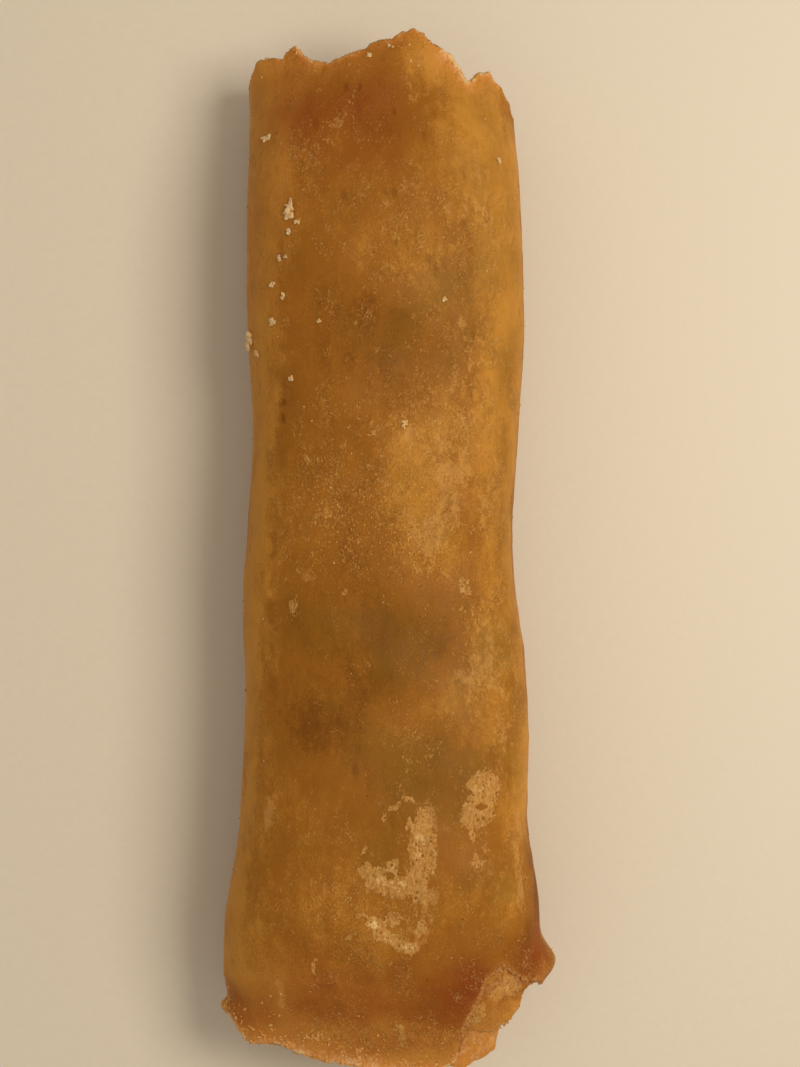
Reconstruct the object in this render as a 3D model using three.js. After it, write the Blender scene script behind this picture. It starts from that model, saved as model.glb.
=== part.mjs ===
// A large fried spring roll: a thin wheat wrapper rolled round its filling and deep-fried.
//
// The roll lies along Y on a small flat strip at z = 0, in millimetres, +Z up. Its outermost turn of wrapper
// ends in a long seam low on the -X side. At both ends the turns stand out past the tucked-in core as ragged,
// broken lips, each a little shorter than the one round it, except at the -Y end's +X corner, where the
// outermost turn has broken away and the two turns under it show.
//
// The whole roll is one closed skin. It is a grid: columns go round the section, and rows run from the centre
// of the -Y core, over that end's lips, along the outside, over the +Y end's lips and into its core.
import * as THREE from "three";

// ---- Driving dimensions -------------------------------------------------------------------------------

// Half-widths of the roll seen from above, as [y, distance from the plane x = 0].
const LEFT_SIDE = [
  [63, 18.6], [34, 19.0], [16, 18.2], [4, 18.8], [-7, 19.5], [-20, 19.1], [-31, 19.6], [-39, 20.2],
  [-49, 21.9], [-57, 22.1], [-60, 21.6],
];
const RIGHT_SIDE = [
  [60, 16.7], [50, 17.6], [31, 18.3], [20, 17.8], [3, 16.7], [-5, 17.1], [-14, 18.3], [-24, 18.9],
  [-36, 18.7], [-48, 20.3], [-60, 20.0],
];
// Height of the top above the table, and of the underside where the ends lift, as [y, z].
const TOP_HEIGHT = [
  [68, 17.0], [61, 19.0], [52, 22.4], [40, 24.4], [24, 24.0], [6, 24.8], [-12, 24.2], [-30, 25.2],
  [-46, 24.0], [-56, 21.2], [-62, 18.6], [-68, 16.2],
];
const UNDERSIDE_HEIGHT = [[68, 3.0], [60, 1.4], [50, 0], [-50, 0], [-60, 1.2], [-68, 2.6]];
const WIDEST_LEVEL = 0.47; // the widest level, as a share of the height there
const SQUARENESS = 2.5; // the section's superellipse power: 2 is an ellipse
const SETTLE = 0.7; // how far the soft underside is pressed flat on the table

// Wrapper turns at the ends.
const WRAPPER = 0.85; // thickness of one fried turn
const TURN_GAP = 0.5; // air between turns at a lip
const TURN_COUNT = 3;
const LIP_DEPTH = 1.8; // how far the gap between two turns runs in behind the shorter one
const CORE_DEPTH = 1.6; // how far the rim of the tucked-in core lies behind the innermost lip
const SIDE_BLEND = 7.0; // width beside the section's widest points where the upper lip runs into the lower

// The run of each turn's broken edge over the upper half of the section, as [x, y]. Turn 0 is the outermost.
const FAR_LIPS = [
  [
    [-18.7, 62.6], [-17.7, 65.2], [-15.6, 65.5], [-14.2, 65.1], [-13.7, 66.2], [-12.8, 66.5], [-12.1, 66.2],
    [-11.2, 65.2], [-7.9, 64.0], [-2.9, 66.2], [-2.3, 67.1], [1.5, 68.2], [3.4, 69.0], [7.7, 66.1], [8.8, 65.7],
    [10.9, 62.0], [11.5, 61.7], [12.4, 63.2], [14.1, 63.4], [15.8, 61.6], [16.6, 60.2], [17.2, 58.4],
  ],
  [
    [-18.7, 60.8], [-11.0, 64.2], [-7.9, 63.4], [-4.5, 64.6], [3.4, 67.4], [8.8, 64.4], [11.5, 61.0],
    [14.1, 61.6], [17.2, 55.0],
  ],
];
const NEAR_LIPS = [
  [
    [-22.1, -62.1], [-20.9, -63.2], [-19.7, -64.9], [-18.7, -65.8], [-15.4, -65.8], [-8.6, -68.1],
    [-5.3, -68.3], [-1.1, -69.1], [3.0, -69.3], [7.0, -69.2], [9.0, -68.0], [10.1, -62.5], [11.6, -58.9],
    [12.7, -56.2], [15.2, -54.5], [16.9, -56.0], [18.3, -57.4], [19.5, -57.9], [20.1, -58.3],
  ],
  [
    [-22.1, -60.6], [-1.2, -67.9], [6.0, -67.6], [9.2, -66.4], [10.8, -63.4], [14.2, -63.9], [16.8, -62.5],
    [18.0, -61.0], [18.3, -58.6], [20.1, -57.0],
  ],
  [
    [-22.1, -59.4], [3.0, -67.6], [10.3, -68.9], [12.3, -68.1], [15.0, -66.8], [15.4, -64.4], [16.4, -61.8],
    [18.4, -59.0], [20.1, -56.0],
  ],
];
const TURN_STEP = 1.1; // a turn with no edge of its own ends this much behind the one round it
// Under the roll the lips are cut back a little: the run of the outermost edge there, as [x, y].
const FAR_LOWER_LIP = [[-18.7, 61.2], [-8, 62.6], [2, 64.4], [9, 61.6], [13, 59], [17.2, 54.6]];
const NEAR_LOWER_LIP = [[-22.1, -60.2], [-14, -63], [2, -65.6], [9, -63.2], [14, -59.4], [20.1, -57]];
// Broken teeth on those runs: how far they stand out, and their spacing.
const UPPER_TEETH = { height: 0.3, length: 2.1 };
const LOWER_TEETH = { height: 0.9, length: 2.7 };

// The two flares at the -Y end: a curled ear on +X and a small spike on -X, as a side-on swelling of the lip.
const FLARES = [
  { side: 1, y: -55.5, reach: 2.5, halfLength: 2.7, halfHeight: 6.0, level: 10.5 },
  { side: -1, y: -61.4, reach: 0.9, halfLength: 0.9, halfHeight: 3.5, level: 11.0 },
];
const FLARE_SHARPNESS = 3; // how fast a flare fades away from the section's widest point

// The seam of the outermost turn: below it the skin lies one wrapper lower, and rises back on the underside.
const SEAM_AT = 0.59; // share of the way round the section, from +X over the top
const SEAM_STEP = 0.75;
const SEAM_FADE = 0.15; // share of the way round in which the step is made up again
const SEAM_CLOSE = 0.006; // width of the step itself, as a share of the way round

// Soft lumps where the filling presses out of the broad faces. Each is a wave of this length along Y, crossed
// with one that goes round the section so many times. Phases are in radians.
const LUMPS = [
  { height: 0.34, length: 37, rounds: 2, alongPhase: 0.4, roundPhase: 1.1 },
  { height: 0.3, length: 23, rounds: 3, alongPhase: 3.3, roundPhase: 2.0 },
  { height: 0.24, length: 16.5, rounds: 5, alongPhase: 2.1, roundPhase: 0.2 },
  { height: 0.16, length: 12.5, rounds: 4, alongPhase: 5.2, roundPhase: 4.1 },
  { height: 0.14, length: 9.5, rounds: 7, alongPhase: 4.4, roundPhase: 2.6 },
];

// The tucked-in core at each end.
const CORE_DOME = 1.8; // how far its centre stands out past the mean of its rim
const FOLD_TILT = 0.12; // slope of the tuck's fold, which runs across the core from -X to +X
const FOLD_STEP = 0.9; // how far the core's upper flap stands out over its lower one
const FOLD_WIDTH = 0.4; // width of the fold's edge
const PLEATS = [
  { height: 0.35, count: 5, phase: 0.9 },
  { height: 0.25, count: 8, phase: 2.3 },
];

// Mesh.
const ROUND_COUNT = 62; // columns, apart from the extra one at the seam
const ROW_STEP = 2.5; // between rows along the outside
const ROW_END = 62; // where the last straight row would lie
const BLEND_LENGTH = 38; // over which rows bend from straight across to the shape of the lip
const CORE_RINGS = 4;
const SECTION_STEPS = 2880; // of the fine walk round the section that spaces its columns
const USUAL_ASPECT = 0.65; // height over width of a usual section, so that the columns are even on the roll

// ---- Helpers ------------------------------------------------------------------------------------------

const TURN = 2 * Math.PI;
const { lerp } = THREE.MathUtils;
const smoothstep = (low, high, x) => THREE.MathUtils.smoothstep(x, low, high);
const total = (numbers) => numbers.reduce((sum, number) => sum + number, 0);

// A smooth line through [at, value] points: a cubic between neighbours, held flat past the ends.
function curveThrough(points, at) {
  const sorted = [...points].sort((p, q) => p[0] - q[0]);
  const last = sorted.length - 1;
  if (at <= sorted[0][0]) return sorted[0][1];
  if (at >= sorted[last][0]) return sorted[last][1];
  const i = sorted.findIndex((p) => p[0] > at) - 1;
  const slope = (k) => {
    const before = sorted[Math.max(k - 1, 0)];
    const after = sorted[Math.min(k + 1, last)];
    return (after[1] - before[1]) / (after[0] - before[0]);
  };
  const [x0, y0] = sorted[i];
  const [x1, y1] = sorted[i + 1];
  const width = x1 - x0;
  const t = (at - x0) / width;
  return (
    y0 * (1 + 2 * t) * (1 - t) ** 2 +
    slope(i) * width * t * (1 - t) ** 2 +
    y1 * t * t * (3 - 2 * t) -
    slope(i + 1) * width * t * t * (1 - t)
  );
}

// A line of straight stretches through [at, value] points given in rising order.
function linesThrough(points, at) {
  const last = points.length - 1;
  if (at <= points[0][0]) return points[0][1];
  if (at >= points[last][0]) return points[last][1];
  const i = points.findIndex((p) => p[0] > at) - 1;
  const [x0, y0] = points[i];
  const [x1, y1] = points[i + 1];
  return lerp(y0, y1, (at - x0) / (x1 - x0));
}

// A repeatable draw from -1 to 1 for a whole number, and a ragged line made of such draws.
function draw(n, seed) {
  const big = Math.sin(n * 12.9898 + seed * 78.233) * 43758.5453;
  return 2 * (big - Math.floor(big)) - 1;
}
function raggedAt(x, teeth, seed) {
  const place = x / teeth.length;
  const n = Math.floor(place);
  return teeth.height * lerp(draw(n, seed), draw(n + 1, seed), place - n);
}

// ---- The wrapped outside ------------------------------------------------------------------------------

// A superellipse of half-width and half-height 1, as points evenly spaced along it, from +X over the top.
function evenSuperellipse(shares) {
  const powered = (v) => Math.sign(v) * Math.abs(v) ** (2 / SQUARENESS);
  const at = (k) => {
    const angle = (TURN * k) / SECTION_STEPS;
    return new THREE.Vector2(powered(Math.cos(angle)), powered(Math.sin(angle)));
  };
  const lengths = [0];
  for (let k = 1; k <= SECTION_STEPS; k++) {
    const step = at(k).sub(at(k - 1));
    lengths.push(lengths[k - 1] + Math.hypot(step.x, step.y * USUAL_ASPECT));
  }
  return shares.map((share) => {
    const wanted = share * lengths[SECTION_STEPS];
    const k = Math.max(1, lengths.findIndex((length) => length >= wanted));
    return at(k - 1).lerp(at(k), (wanted - lengths[k - 1]) / (lengths[k] - lengths[k - 1]));
  });
}

// The section at y: half-widths each way, and the heights of its underside, widest level and top.
function sectionAt(y) {
  const top = curveThrough(TOP_HEIGHT, y);
  const bottom = Math.max(0, curveThrough(UNDERSIDE_HEIGHT, y));
  const widest = lerp(bottom, top, WIDEST_LEVEL);
  return { left: curveThrough(LEFT_SIDE, y), right: curveThrough(RIGHT_SIDE, y), bottom, widest, top };
}

// The lumps fade out towards the section's widest points, whose outline is given.
function lumpAt(y, column) {
  const waves = LUMPS.map((lump) => {
    const along = Math.sin((TURN * y) / lump.length + lump.alongPhase);
    const round = Math.sin(TURN * lump.rounds * column.share + lump.roundPhase);
    return lump.height * along * round;
  });
  return total(waves) * column.shape.y ** 2;
}

function seamDropAt(share) {
  const past = share - SEAM_AT;
  if (past < 0 || past > SEAM_FADE) return 0;
  return SEAM_STEP * Math.min(1, past / SEAM_CLOSE) * (1 - past / SEAM_FADE);
}

// How far a place on the skin is pushed out sideways by the flares.
function flareAt(shape, y, z) {
  const pushes = FLARES.map((flare) => {
    if (flare.side * shape.x <= 0) return 0;
    const along = (y - flare.y) / flare.halfLength;
    const up = (z - flare.level) / flare.halfHeight;
    const fade = Math.abs(shape.x) ** FLARE_SHARPNESS;
    return flare.side * flare.reach * fade * Math.exp(-along * along - up * up);
  });
  return total(pushes);
}

// The point of the roll's skin at a column and a place along Y, this far in from the outside.
function skinPoint(column, y, inset) {
  const section = sectionAt(y);
  const { share, shape } = column;
  const outward = lumpAt(y, column) - seamDropAt(share) - inset;
  const halfWidth = (shape.x > 0 ? section.right : section.left) + outward;
  const above = section.top - section.widest;
  const below = section.widest - section.bottom + SETTLE;
  const z = section.widest + ((shape.y > 0 ? above : below) + outward) * shape.y;
  const x = halfWidth * shape.x + flareAt(shape, y, z);
  return new THREE.Vector3(x, y, Math.max(z, section.bottom));
}

// ---- The ends -----------------------------------------------------------------------------------------

// Where a turn's edge lies at a column, for the far (+Y) end with sign 1 or the near end with sign -1.
// Each turn is held to x of the usual width, so that one list serves every section near the end. The share of
// the teeth's height is 1 at the edge itself, and 0 for what only follows its run.
function lipAt(turn, column, sign, teeth = 1) {
  const lists = sign > 0 ? FAR_LIPS : NEAR_LIPS;
  const list = lists[Math.min(turn, lists.length - 1)];
  const extra = Math.max(0, turn - (lists.length - 1)) * TURN_STEP;
  const { shape } = column;
  const halfWidth = shape.x > 0 ? list[list.length - 1][0] : -list[0][0];
  const x = shape.x * halfWidth;
  const seed = 3 * turn + sign;
  const upper = linesThrough(list, x) - sign * extra + teeth * raggedAt(x, UPPER_TEETH, seed);
  if (shape.y >= 0) return upper;
  const run = linesThrough(sign > 0 ? FAR_LOWER_LIP : NEAR_LOWER_LIP, x);
  const lower = run - sign * turn * TURN_STEP + teeth * raggedAt(x, LOWER_TEETH, seed);
  const fromSide = (1 - Math.abs(shape.x)) * halfWidth;
  return lerp(upper, lower, smoothstep(0, SIDE_BLEND, fromSide));
}

// The rows over one end's lips, from the outermost turn's outside in to the rim of the core.
function lipRows(columns, sign) {
  const edges = [];
  for (let turn = 0; turn < TURN_COUNT; turn++) edges.push(columns.map((c) => lipAt(turn, c, sign)));
  const row = (ys, inset) => columns.map((c, j) => skinPoint(c, ys[j], inset));
  const rows = [];
  for (let turn = 0; turn < TURN_COUNT; turn++) {
    const outer = turn * (WRAPPER + TURN_GAP);
    const inner = outer + WRAPPER;
    const edge = edges[turn];
    if (turn > 0) rows.push(row(edge, outer));
    rows.push(row(edge, inner));
    if (turn + 1 < TURN_COUNT) {
      const next = edges[turn + 1];
      const floor = edge.map((y, j) => sign * (Math.min(sign * y, sign * next[j]) - LIP_DEPTH));
      rows.push(row(floor, inner));
      rows.push(row(floor, inner + TURN_GAP));
    }
  }
  return rows;
}

// How far the core stands out at a place on it: pleats, and the upper flap folded down over the lower one.
function coreRelief(column, inwards, place, centre) {
  const pleats = PLEATS.map((p) => p.height * Math.sin(TURN * p.count * column.share + p.phase));
  const aboveFold = place.z - centre.z - FOLD_TILT * (place.x - centre.x);
  const flap = FOLD_STEP * smoothstep(-FOLD_WIDTH / 2, FOLD_WIDTH / 2, aboveFold);
  return (total(pleats) + flap) * Math.sin(Math.PI * inwards);
}

// The tucked-in core: rings that draw in from the innermost turn to its centre.
function coreRows(columns, sign) {
  const inset = TURN_COUNT * WRAPPER + (TURN_COUNT - 1) * TURN_GAP;
  const rimAt = (c) => lipAt(TURN_COUNT - 1, c, sign, 0) - sign * CORE_DEPTH;
  const rim = columns.map((c) => skinPoint(c, rimAt(c), inset));
  const centre = rim.reduce((sum, p) => sum.add(p), new THREE.Vector3()).divideScalar(rim.length);
  centre.y += sign * CORE_DOME;
  const rows = [rim];
  for (let ring = 1; ring <= CORE_RINGS; ring++) {
    const inwards = ring / (CORE_RINGS + 1);
    rows.push(
      rim.map((p, j) => {
        const place = p.clone().lerp(centre, inwards);
        place.y += sign * coreRelief(columns[j], inwards, place, centre);
        return place;
      }),
    );
  }
  return { rows, centre };
}

// ---- The whole skin -----------------------------------------------------------------------------------

// The columns, evenly spaced round the section, with one moved to the seam and one added at its foot.
function columnsRound() {
  const shares = [];
  for (let j = 0; j < ROUND_COUNT; j++) shares.push(j / ROUND_COUNT);
  const seam = Math.round(SEAM_AT * ROUND_COUNT);
  shares[seam] = SEAM_AT;
  shares.splice(seam + 1, 0, SEAM_AT + SEAM_CLOSE);
  const shapes = evenSuperellipse(shares);
  return shares.map((share, j) => ({ share, shape: shapes[j] }));
}

// Rows along the outside: straight across in the middle and following the outermost lips at both ends.
function outsideRows(columns) {
  const near = columns.map((c) => lipAt(0, c, -1));
  const far = columns.map((c) => lipAt(0, c, 1));
  const count = Math.round((2 * ROW_END) / ROW_STEP);
  const rows = [];
  for (let k = 0; k <= count; k++) {
    const straight = -ROW_END + (2 * ROW_END * k) / count;
    const farShare = smoothstep(ROW_END - BLEND_LENGTH, ROW_END, straight);
    const nearShare = smoothstep(ROW_END - BLEND_LENGTH, ROW_END, -straight);
    rows.push(
      columns.map((c, j) => {
        const y = straight + farShare * (far[j] - ROW_END) + nearShare * (near[j] + ROW_END);
        return skinPoint(c, y, 0);
      }),
    );
  }
  return rows;
}

// One closed mesh from rows of points round the roll, with a single point closing each end.
function closedSkin(rows, firstCentre, lastCentre) {
  const round = rows[0].length;
  const points = [firstCentre, ...rows.flat(), lastCentre];
  const at = (row, j) => 1 + row * round + (j % round);
  const faces = [];
  for (let j = 0; j < round; j++) {
    faces.push(0, at(0, j), at(0, j + 1));
    faces.push(points.length - 1, at(rows.length - 1, j + 1), at(rows.length - 1, j));
    for (let row = 0; row + 1 < rows.length; row++) {
      const [a, b, c, d] = [at(row, j), at(row, j + 1), at(row + 1, j + 1), at(row + 1, j)];
      faces.push(a, d, b, b, d, c);
    }
  }
  const geometry = new THREE.BufferGeometry().setFromPoints(points);
  geometry.setIndex(faces);
  return geometry;
}

function rollGeometry() {
  const columns = columnsRound();
  const nearCore = coreRows(columns, -1);
  const farCore = coreRows(columns, 1);
  const rows = [
    ...nearCore.rows.reverse(),
    ...lipRows(columns, -1).reverse(),
    ...outsideRows(columns),
    ...lipRows(columns, 1),
    ...farCore.rows,
  ];
  const geometry = closedSkin(rows, nearCore.centre, farCore.centre);
  geometry.computeBoundingBox();
  const middle = geometry.boundingBox.getCenter(new THREE.Vector3());
  geometry.translate(-middle.x, -middle.y, 0);
  geometry.computeVertexNormals();
  return geometry;
}

const friedWrapper = new THREE.MeshStandardMaterial({ color: 0x98611f, roughness: 0.55, metalness: 0 });
const roll = new THREE.Mesh(rollGeometry(), friedWrapper);
roll.name = "roll";

const springRoll = new THREE.Group();
springRoll.add(roll);

export default springRoll;
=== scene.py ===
"""The looks of a large fried spring roll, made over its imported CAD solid.

Lengths are in millimetres in the roll's own frame, where x = 0 is the plane that the half-widths are measured
from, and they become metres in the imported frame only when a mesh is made. "Share" is the share of the way
round the section, from +X over the top. "Across" is the distance along the skin from the top line, + towards
+X. "Inset" is how far in from the skin a point lies.
"""

import functools
import itertools
import math

import bmesh
import bpy
import numpy as np
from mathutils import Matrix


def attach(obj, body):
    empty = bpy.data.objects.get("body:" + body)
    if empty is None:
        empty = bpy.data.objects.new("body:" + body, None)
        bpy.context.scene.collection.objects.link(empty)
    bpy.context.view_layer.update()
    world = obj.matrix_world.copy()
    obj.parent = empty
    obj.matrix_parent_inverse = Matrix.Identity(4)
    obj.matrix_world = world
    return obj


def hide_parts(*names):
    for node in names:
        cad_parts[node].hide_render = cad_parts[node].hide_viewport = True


MM = 0.001
TURN = 2 * math.pi

# ---- Driving dimensions, as in the CAD part ----

# The roll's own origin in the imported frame, whose origin is the middle of the CAD box.
FRAME_SHIFT = (-0.164, 0.273)

# Half-widths seen from above, as [y, distance from x = 0], then heights as [y, z].
LEFT_SIDE = [
    [63, 18.6], [34, 19], [16, 18.2], [4, 18.8], [-7, 19.5], [-20, 19.1], [-31, 19.6], [-39, 20.2],
    [-49, 21.9], [-57, 22.1], [-60, 21.6],
]
RIGHT_SIDE = [
    [60, 16.7], [50, 17.6], [31, 18.3], [20, 17.8], [3, 16.7], [-5, 17.1], [-14, 18.3], [-24, 18.9],
    [-36, 18.7], [-48, 20.3], [-60, 20],
]
TOP_HEIGHT = [
    [68, 17], [61, 19], [52, 22.4], [40, 24.4], [24, 24], [6, 24.8], [-12, 24.2], [-30, 25.2], [-46, 24],
    [-56, 21.2], [-62, 18.6], [-68, 16.2],
]
UNDERSIDE_HEIGHT = [[68, 3], [60, 1.4], [50, 0], [-50, 0], [-60, 1.2], [-68, 2.6]]
WIDEST_LEVEL = 0.47
SQUARENESS = 2.5
SETTLE = 0.7

WRAPPER = 0.85
TURN_GAP = 0.5
TURN_COUNT = 3
CORE_DEPTH = 1.6
SIDE_BLEND = 7

# The run of each turn's broken edge over the upper half of the section, as [x, y]. Turn 0 is the outermost.
FAR_LIPS = [
    [
        [-18.7, 62.6], [-17.7, 65.2], [-15.6, 65.5], [-14.2, 65.1], [-13.7, 66.2], [-12.8, 66.5],
        [-12.1, 66.2], [-11.2, 65.2], [-7.9, 64], [-2.9, 66.2], [-2.3, 67.1], [1.5, 68.2], [3.4, 69],
        [7.7, 66.1], [8.8, 65.7], [10.9, 62], [11.5, 61.7], [12.4, 63.2], [14.1, 63.4], [15.8, 61.6],
        [16.6, 60.2], [17.2, 58.4],
    ],
    [
        [-18.7, 60.8], [-11, 64.2], [-7.9, 63.4], [-4.5, 64.6], [3.4, 67.4], [8.8, 64.4], [11.5, 61],
        [14.1, 61.6], [17.2, 55],
    ],
]
NEAR_LIPS = [
    [
        [-22.1, -62.1], [-20.9, -63.2], [-19.7, -64.9], [-18.7, -65.8], [-15.4, -65.8], [-8.6, -68.1],
        [-5.3, -68.3], [-1.1, -69.1], [3, -69.3], [7, -69.2], [9, -68], [10.1, -62.5], [11.6, -58.9],
        [12.7, -56.2], [15.2, -54.5], [16.9, -56], [18.3, -57.4], [19.5, -57.9], [20.1, -58.3],
    ],
    [
        [-22.1, -60.6], [-1.2, -67.9], [6, -67.6], [9.2, -66.4], [10.8, -63.4], [14.2, -63.9],
        [16.8, -62.5], [18, -61], [18.3, -58.6], [20.1, -57],
    ],
    [
        [-22.1, -59.4], [3, -67.6], [10.3, -68.9], [12.3, -68.1], [15, -66.8], [15.4, -64.4],
        [16.4, -61.8], [18.4, -59], [20.1, -56],
    ],
]
TURN_STEP = 1.1
FAR_LOWER_LIP = [[-18.7, 61.2], [-8, 62.6], [2, 64.4], [9, 61.6], [13, 59], [17.2, 54.6]]
NEAR_LOWER_LIP = [[-22.1, -60.2], [-14, -63], [2, -65.6], [9, -63.2], [14, -59.4], [20.1, -57]]
UPPER_TEETH = {"height": 0.3, "length": 2.1}
LOWER_TEETH = {"height": 0.9, "length": 2.7}

FLARES = [
    {"side": 1, "y": -55.5, "reach": 2.5, "half_length": 2.7, "half_height": 6, "level": 10.5},
    {"side": -1, "y": -61.4, "reach": 0.9, "half_length": 0.9, "half_height": 3.5, "level": 11},
]
FLARE_SHARPNESS = 3

SEAM_AT = 0.59
SEAM_STEP = 0.75
SEAM_FADE = 0.15
SEAM_CLOSE = 0.0025  # narrower than the CAD part's step, as this mesh is finer

LUMPS = [
    {"height": 0.34, "length": 37, "rounds": 2, "along_phase": 0.4, "round_phase": 1.1},
    {"height": 0.3, "length": 23, "rounds": 3, "along_phase": 3.3, "round_phase": 2},
    {"height": 0.24, "length": 16.5, "rounds": 5, "along_phase": 2.1, "round_phase": 0.2},
    {"height": 0.16, "length": 12.5, "rounds": 4, "along_phase": 5.2, "round_phase": 4.1},
    {"height": 0.14, "length": 9.5, "rounds": 7, "along_phase": 4.4, "round_phase": 2.6},
]
CORE_DOME = 1.8
FOLD_TILT = 0.12
FOLD_STEP = 0.9
FOLD_WIDTH = 0.4

# ---- Finer sizes of the looks ----

# A usual section, on which distances across the skin are measured.
USUAL_HALF_WIDTH = 18.7
USUAL_HALF_HEIGHT = 12.2
SECTION_STEPS = 2880

# The outer turn's mesh. Its rows bend from straight across to the run of each lip, and then to its teeth.
TOP_SPACING = 0.31  # between columns over the top and the sides
UNDER_SPACING = 0.6
UNDER_FROM = (0.52, 0.56)  # shares of the way round over which the columns spread, and close up again
UNDER_TO = (0.94, 0.98)
SEAM_SPACING = 0.16
SEAM_REACH = 0.014
MID_ROW_SPACING = 0.46
END_ROW_SPACING = 0.3
ROW_END = 62
END_ZONE = 14  # length at each end with the close rows
RUN_BLEND = 38
TEETH_BLEND = 3
LIP_THICKNESS = 0.56  # of a turn at its broken edge
LIP_PROFILE = [(-0.1, 0.1), (0.06, 0.35), (0.06, 0.65), (-0.1, 0.9)]  # [ahead, share of the thickness]
CURL = {"height": 0.5, "length": 7, "depth": 5, "seed": 8}  # how a lip waves in and out
INNER_WALL = [0.25, 0.6, 1.1, 1.8, 2.8, 4.2, 6, 8.5]  # depths of the rows behind a lip
LIP_WRINKLE_REACH = 2.5
OUTSIDE = (0.02, -0.02)  # insets over which the relief rises from none to full: it is at half on the outside
STREAKS = np.array([1, 0.55, 1])  # shares of the sizes, which make noise longer along the roll

# The inner turns' and the core's mesh. The first wall starts out of sight, this deep behind the outer lip.
END_COLUMNS = 360
HIDDEN_DEPTH = 7
EDGE_ROUND = 0.2
FIRST_WALL_ROWS = 26
WALL_ROWS = 9
VALLEY_ROWS = 7
VALLEY_DEPTH = 3.4
CORE_WALL_ROWS = 4
CORE_RINGS = 40
TORN_LIFT = [0, 1.1, 1.95]  # how much nearer the skin each turn lies over the torn part of the -Y end
TORN_FROM = (-0.1, -0.02)  # shares of the way round over which the torn part begins, and ends
TORN_TO = (0.2, 0.27)
END_LOOKS = {1: {"tone": 0.75, "torn": 0}, -1: {"tone": 0.85, "torn": 1}}  # by the end's sign
OUTERMOST_Y = (-62.5, -65.5)  # where the inner turns turn paler, and their painted glow stronger, towards the -Y end
OUTERMOST_CHANGE = 0.45
CORE_SHADE = 0.45
CORE_PUFF = 0.55  # how far the core stands out between its creases
CORE_RISE = 0.625  # share of the way in over which its crumples rise to their full height

# Small hollows and bumps, as dots this far apart, and creases.
BLISTERS = {"spacing": 1.7, "seed": 121, "tone": 0.16, "height": 0.07}
PITS = {"spacing": 1.9, "seed": 141, "tone": 0.5, "depth": 0.08}
BUBBLES = {"spacing": 3, "seed": 75, "height": 0.12, "least_draw": 0.7, "radius": 0.5}
DOT_RADII = (0.14, 0.34)
DOT_GAPS = 0.45  # share of the places that stay empty
FROST_HEIGHT = 0.03
CREASES = [  # thin dark lines of painted shade along the skin's creases: [x, lowest y, highest y, share of the depth]
    [-13.7, 14, 24, 1], [-14.6, -24, 6, 0.4], [14.6, -13, 4, 0.25],
]
CREASE = {"depth": 0.14, "tone": 0.5, "narrow": 0.25, "widening": 0.2, "fade": 3}  # the fade is at both ends

# Noise over the skin, by its use: strength, size, seed, octaves, and the share that each octave keeps.
NOISES = {
    "broad_tone": (0.13, 7.5, 51, 2, 0.6),
    "fine_tone": (0.09, 2.2, 53, 2, 0.7),
    "limb": (0.02, 5, 55, 3, 0.6),
    "red": (0.08, 6, 57, 2),
    "blotches": (1, 8, 59, 3, 0.6),
    "scuff": (0.42, 3, 65, 2, 0.6),
    "film": (0.22, 2.2, 67, 2, 0.7),
    "sparkle": (0.2, 3, 69, 1),
    "skin": (0.16, 6, 71, 2),
    "fine_skin": (0.05, 1.7, 73, 1),
    "finest_skin": (0.03, 0.9, 74, 1),
    "frost": (0.05, 0.8, 77, 1),
    "lip": (0.12, 1.4, 85, 1),
    "inner": (0.09, 1.8, 97, 2),
    "inner_tone": (0.3, 2.8, 98, 3, 0.7),
    "torn": (0.22, 0.9, 99, 2, 0.7),
    "core_fold": (0.9, 7, 101, 1),
    "core_crease": (1.1, 5, 103, 1),
    "core_lumps": (0.35, 2.2, 105, 1),
    "core_grain": (0.12, 0.9, 107, 1),
    "grain_crowd": (1, 2.6, 115, 1),
}
# Noise along a line: (strength, size, seed).
FINE_TEETH = [(0.3, 1.5, 5), (0.16, 0.6, 6)]
SEAM_WANDER = [(0.005, 14, 40), (0.0018, 2.6, 40)]
LIP_UNEVENNESS = [(0.3, 3, 81)]
GAP_WANDER = [(0.25, 9, 94)]
CREASE_WANDER = [(0.5, 5, 79), (0.25, 1.3, 80)]
CREASE_BREAKS = [(1, 1.6, 83)]
# Noise that bends places: (size, reach, seed).
SOFT_BENDS = [(6.5, 1.5, 31), (2.4, 0.7, 35)]
RAGGED_BENDS = [(2, 0.45, 61), (0.8, 0.25, 63)]
HOLE_BENDS = [(2, 0.3, 61), (0.8, 0.15, 63)]

# The skin's tone runs from dark brown, 0, to pale gold, 1, and its red from olive, below 0, to red-brown.
TONE_START = 0.58
TONE_ACROSS = -0.002  # for each millimetre towards +X
SIDE_TONE_AND_LIGHT = {"from": 0.84, "change": 0.42}  # the sides are paler, from this share of the half-width out: partly their own colour, partly painted light that passes through the thin skin there
UNDER_TONE_AND_SHADE = -0.2  # and darker below the widest level: partly its own colour, partly painted shade
UNDER_FADE = (0.1, -0.55)  # shares of the height above and below that level
UNDER_SHARE = {"side": 0.3, "limb": 0.2}  # of the changes at the sides, which reach the underside
BLOTCHES = {"strength": 0.28, "raggedness": 0.16}  # on the sides and underneath
LIMB_SHADE = {"from": 0.968, "strength": 0.28}  # a thin darker line along the +X side

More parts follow.
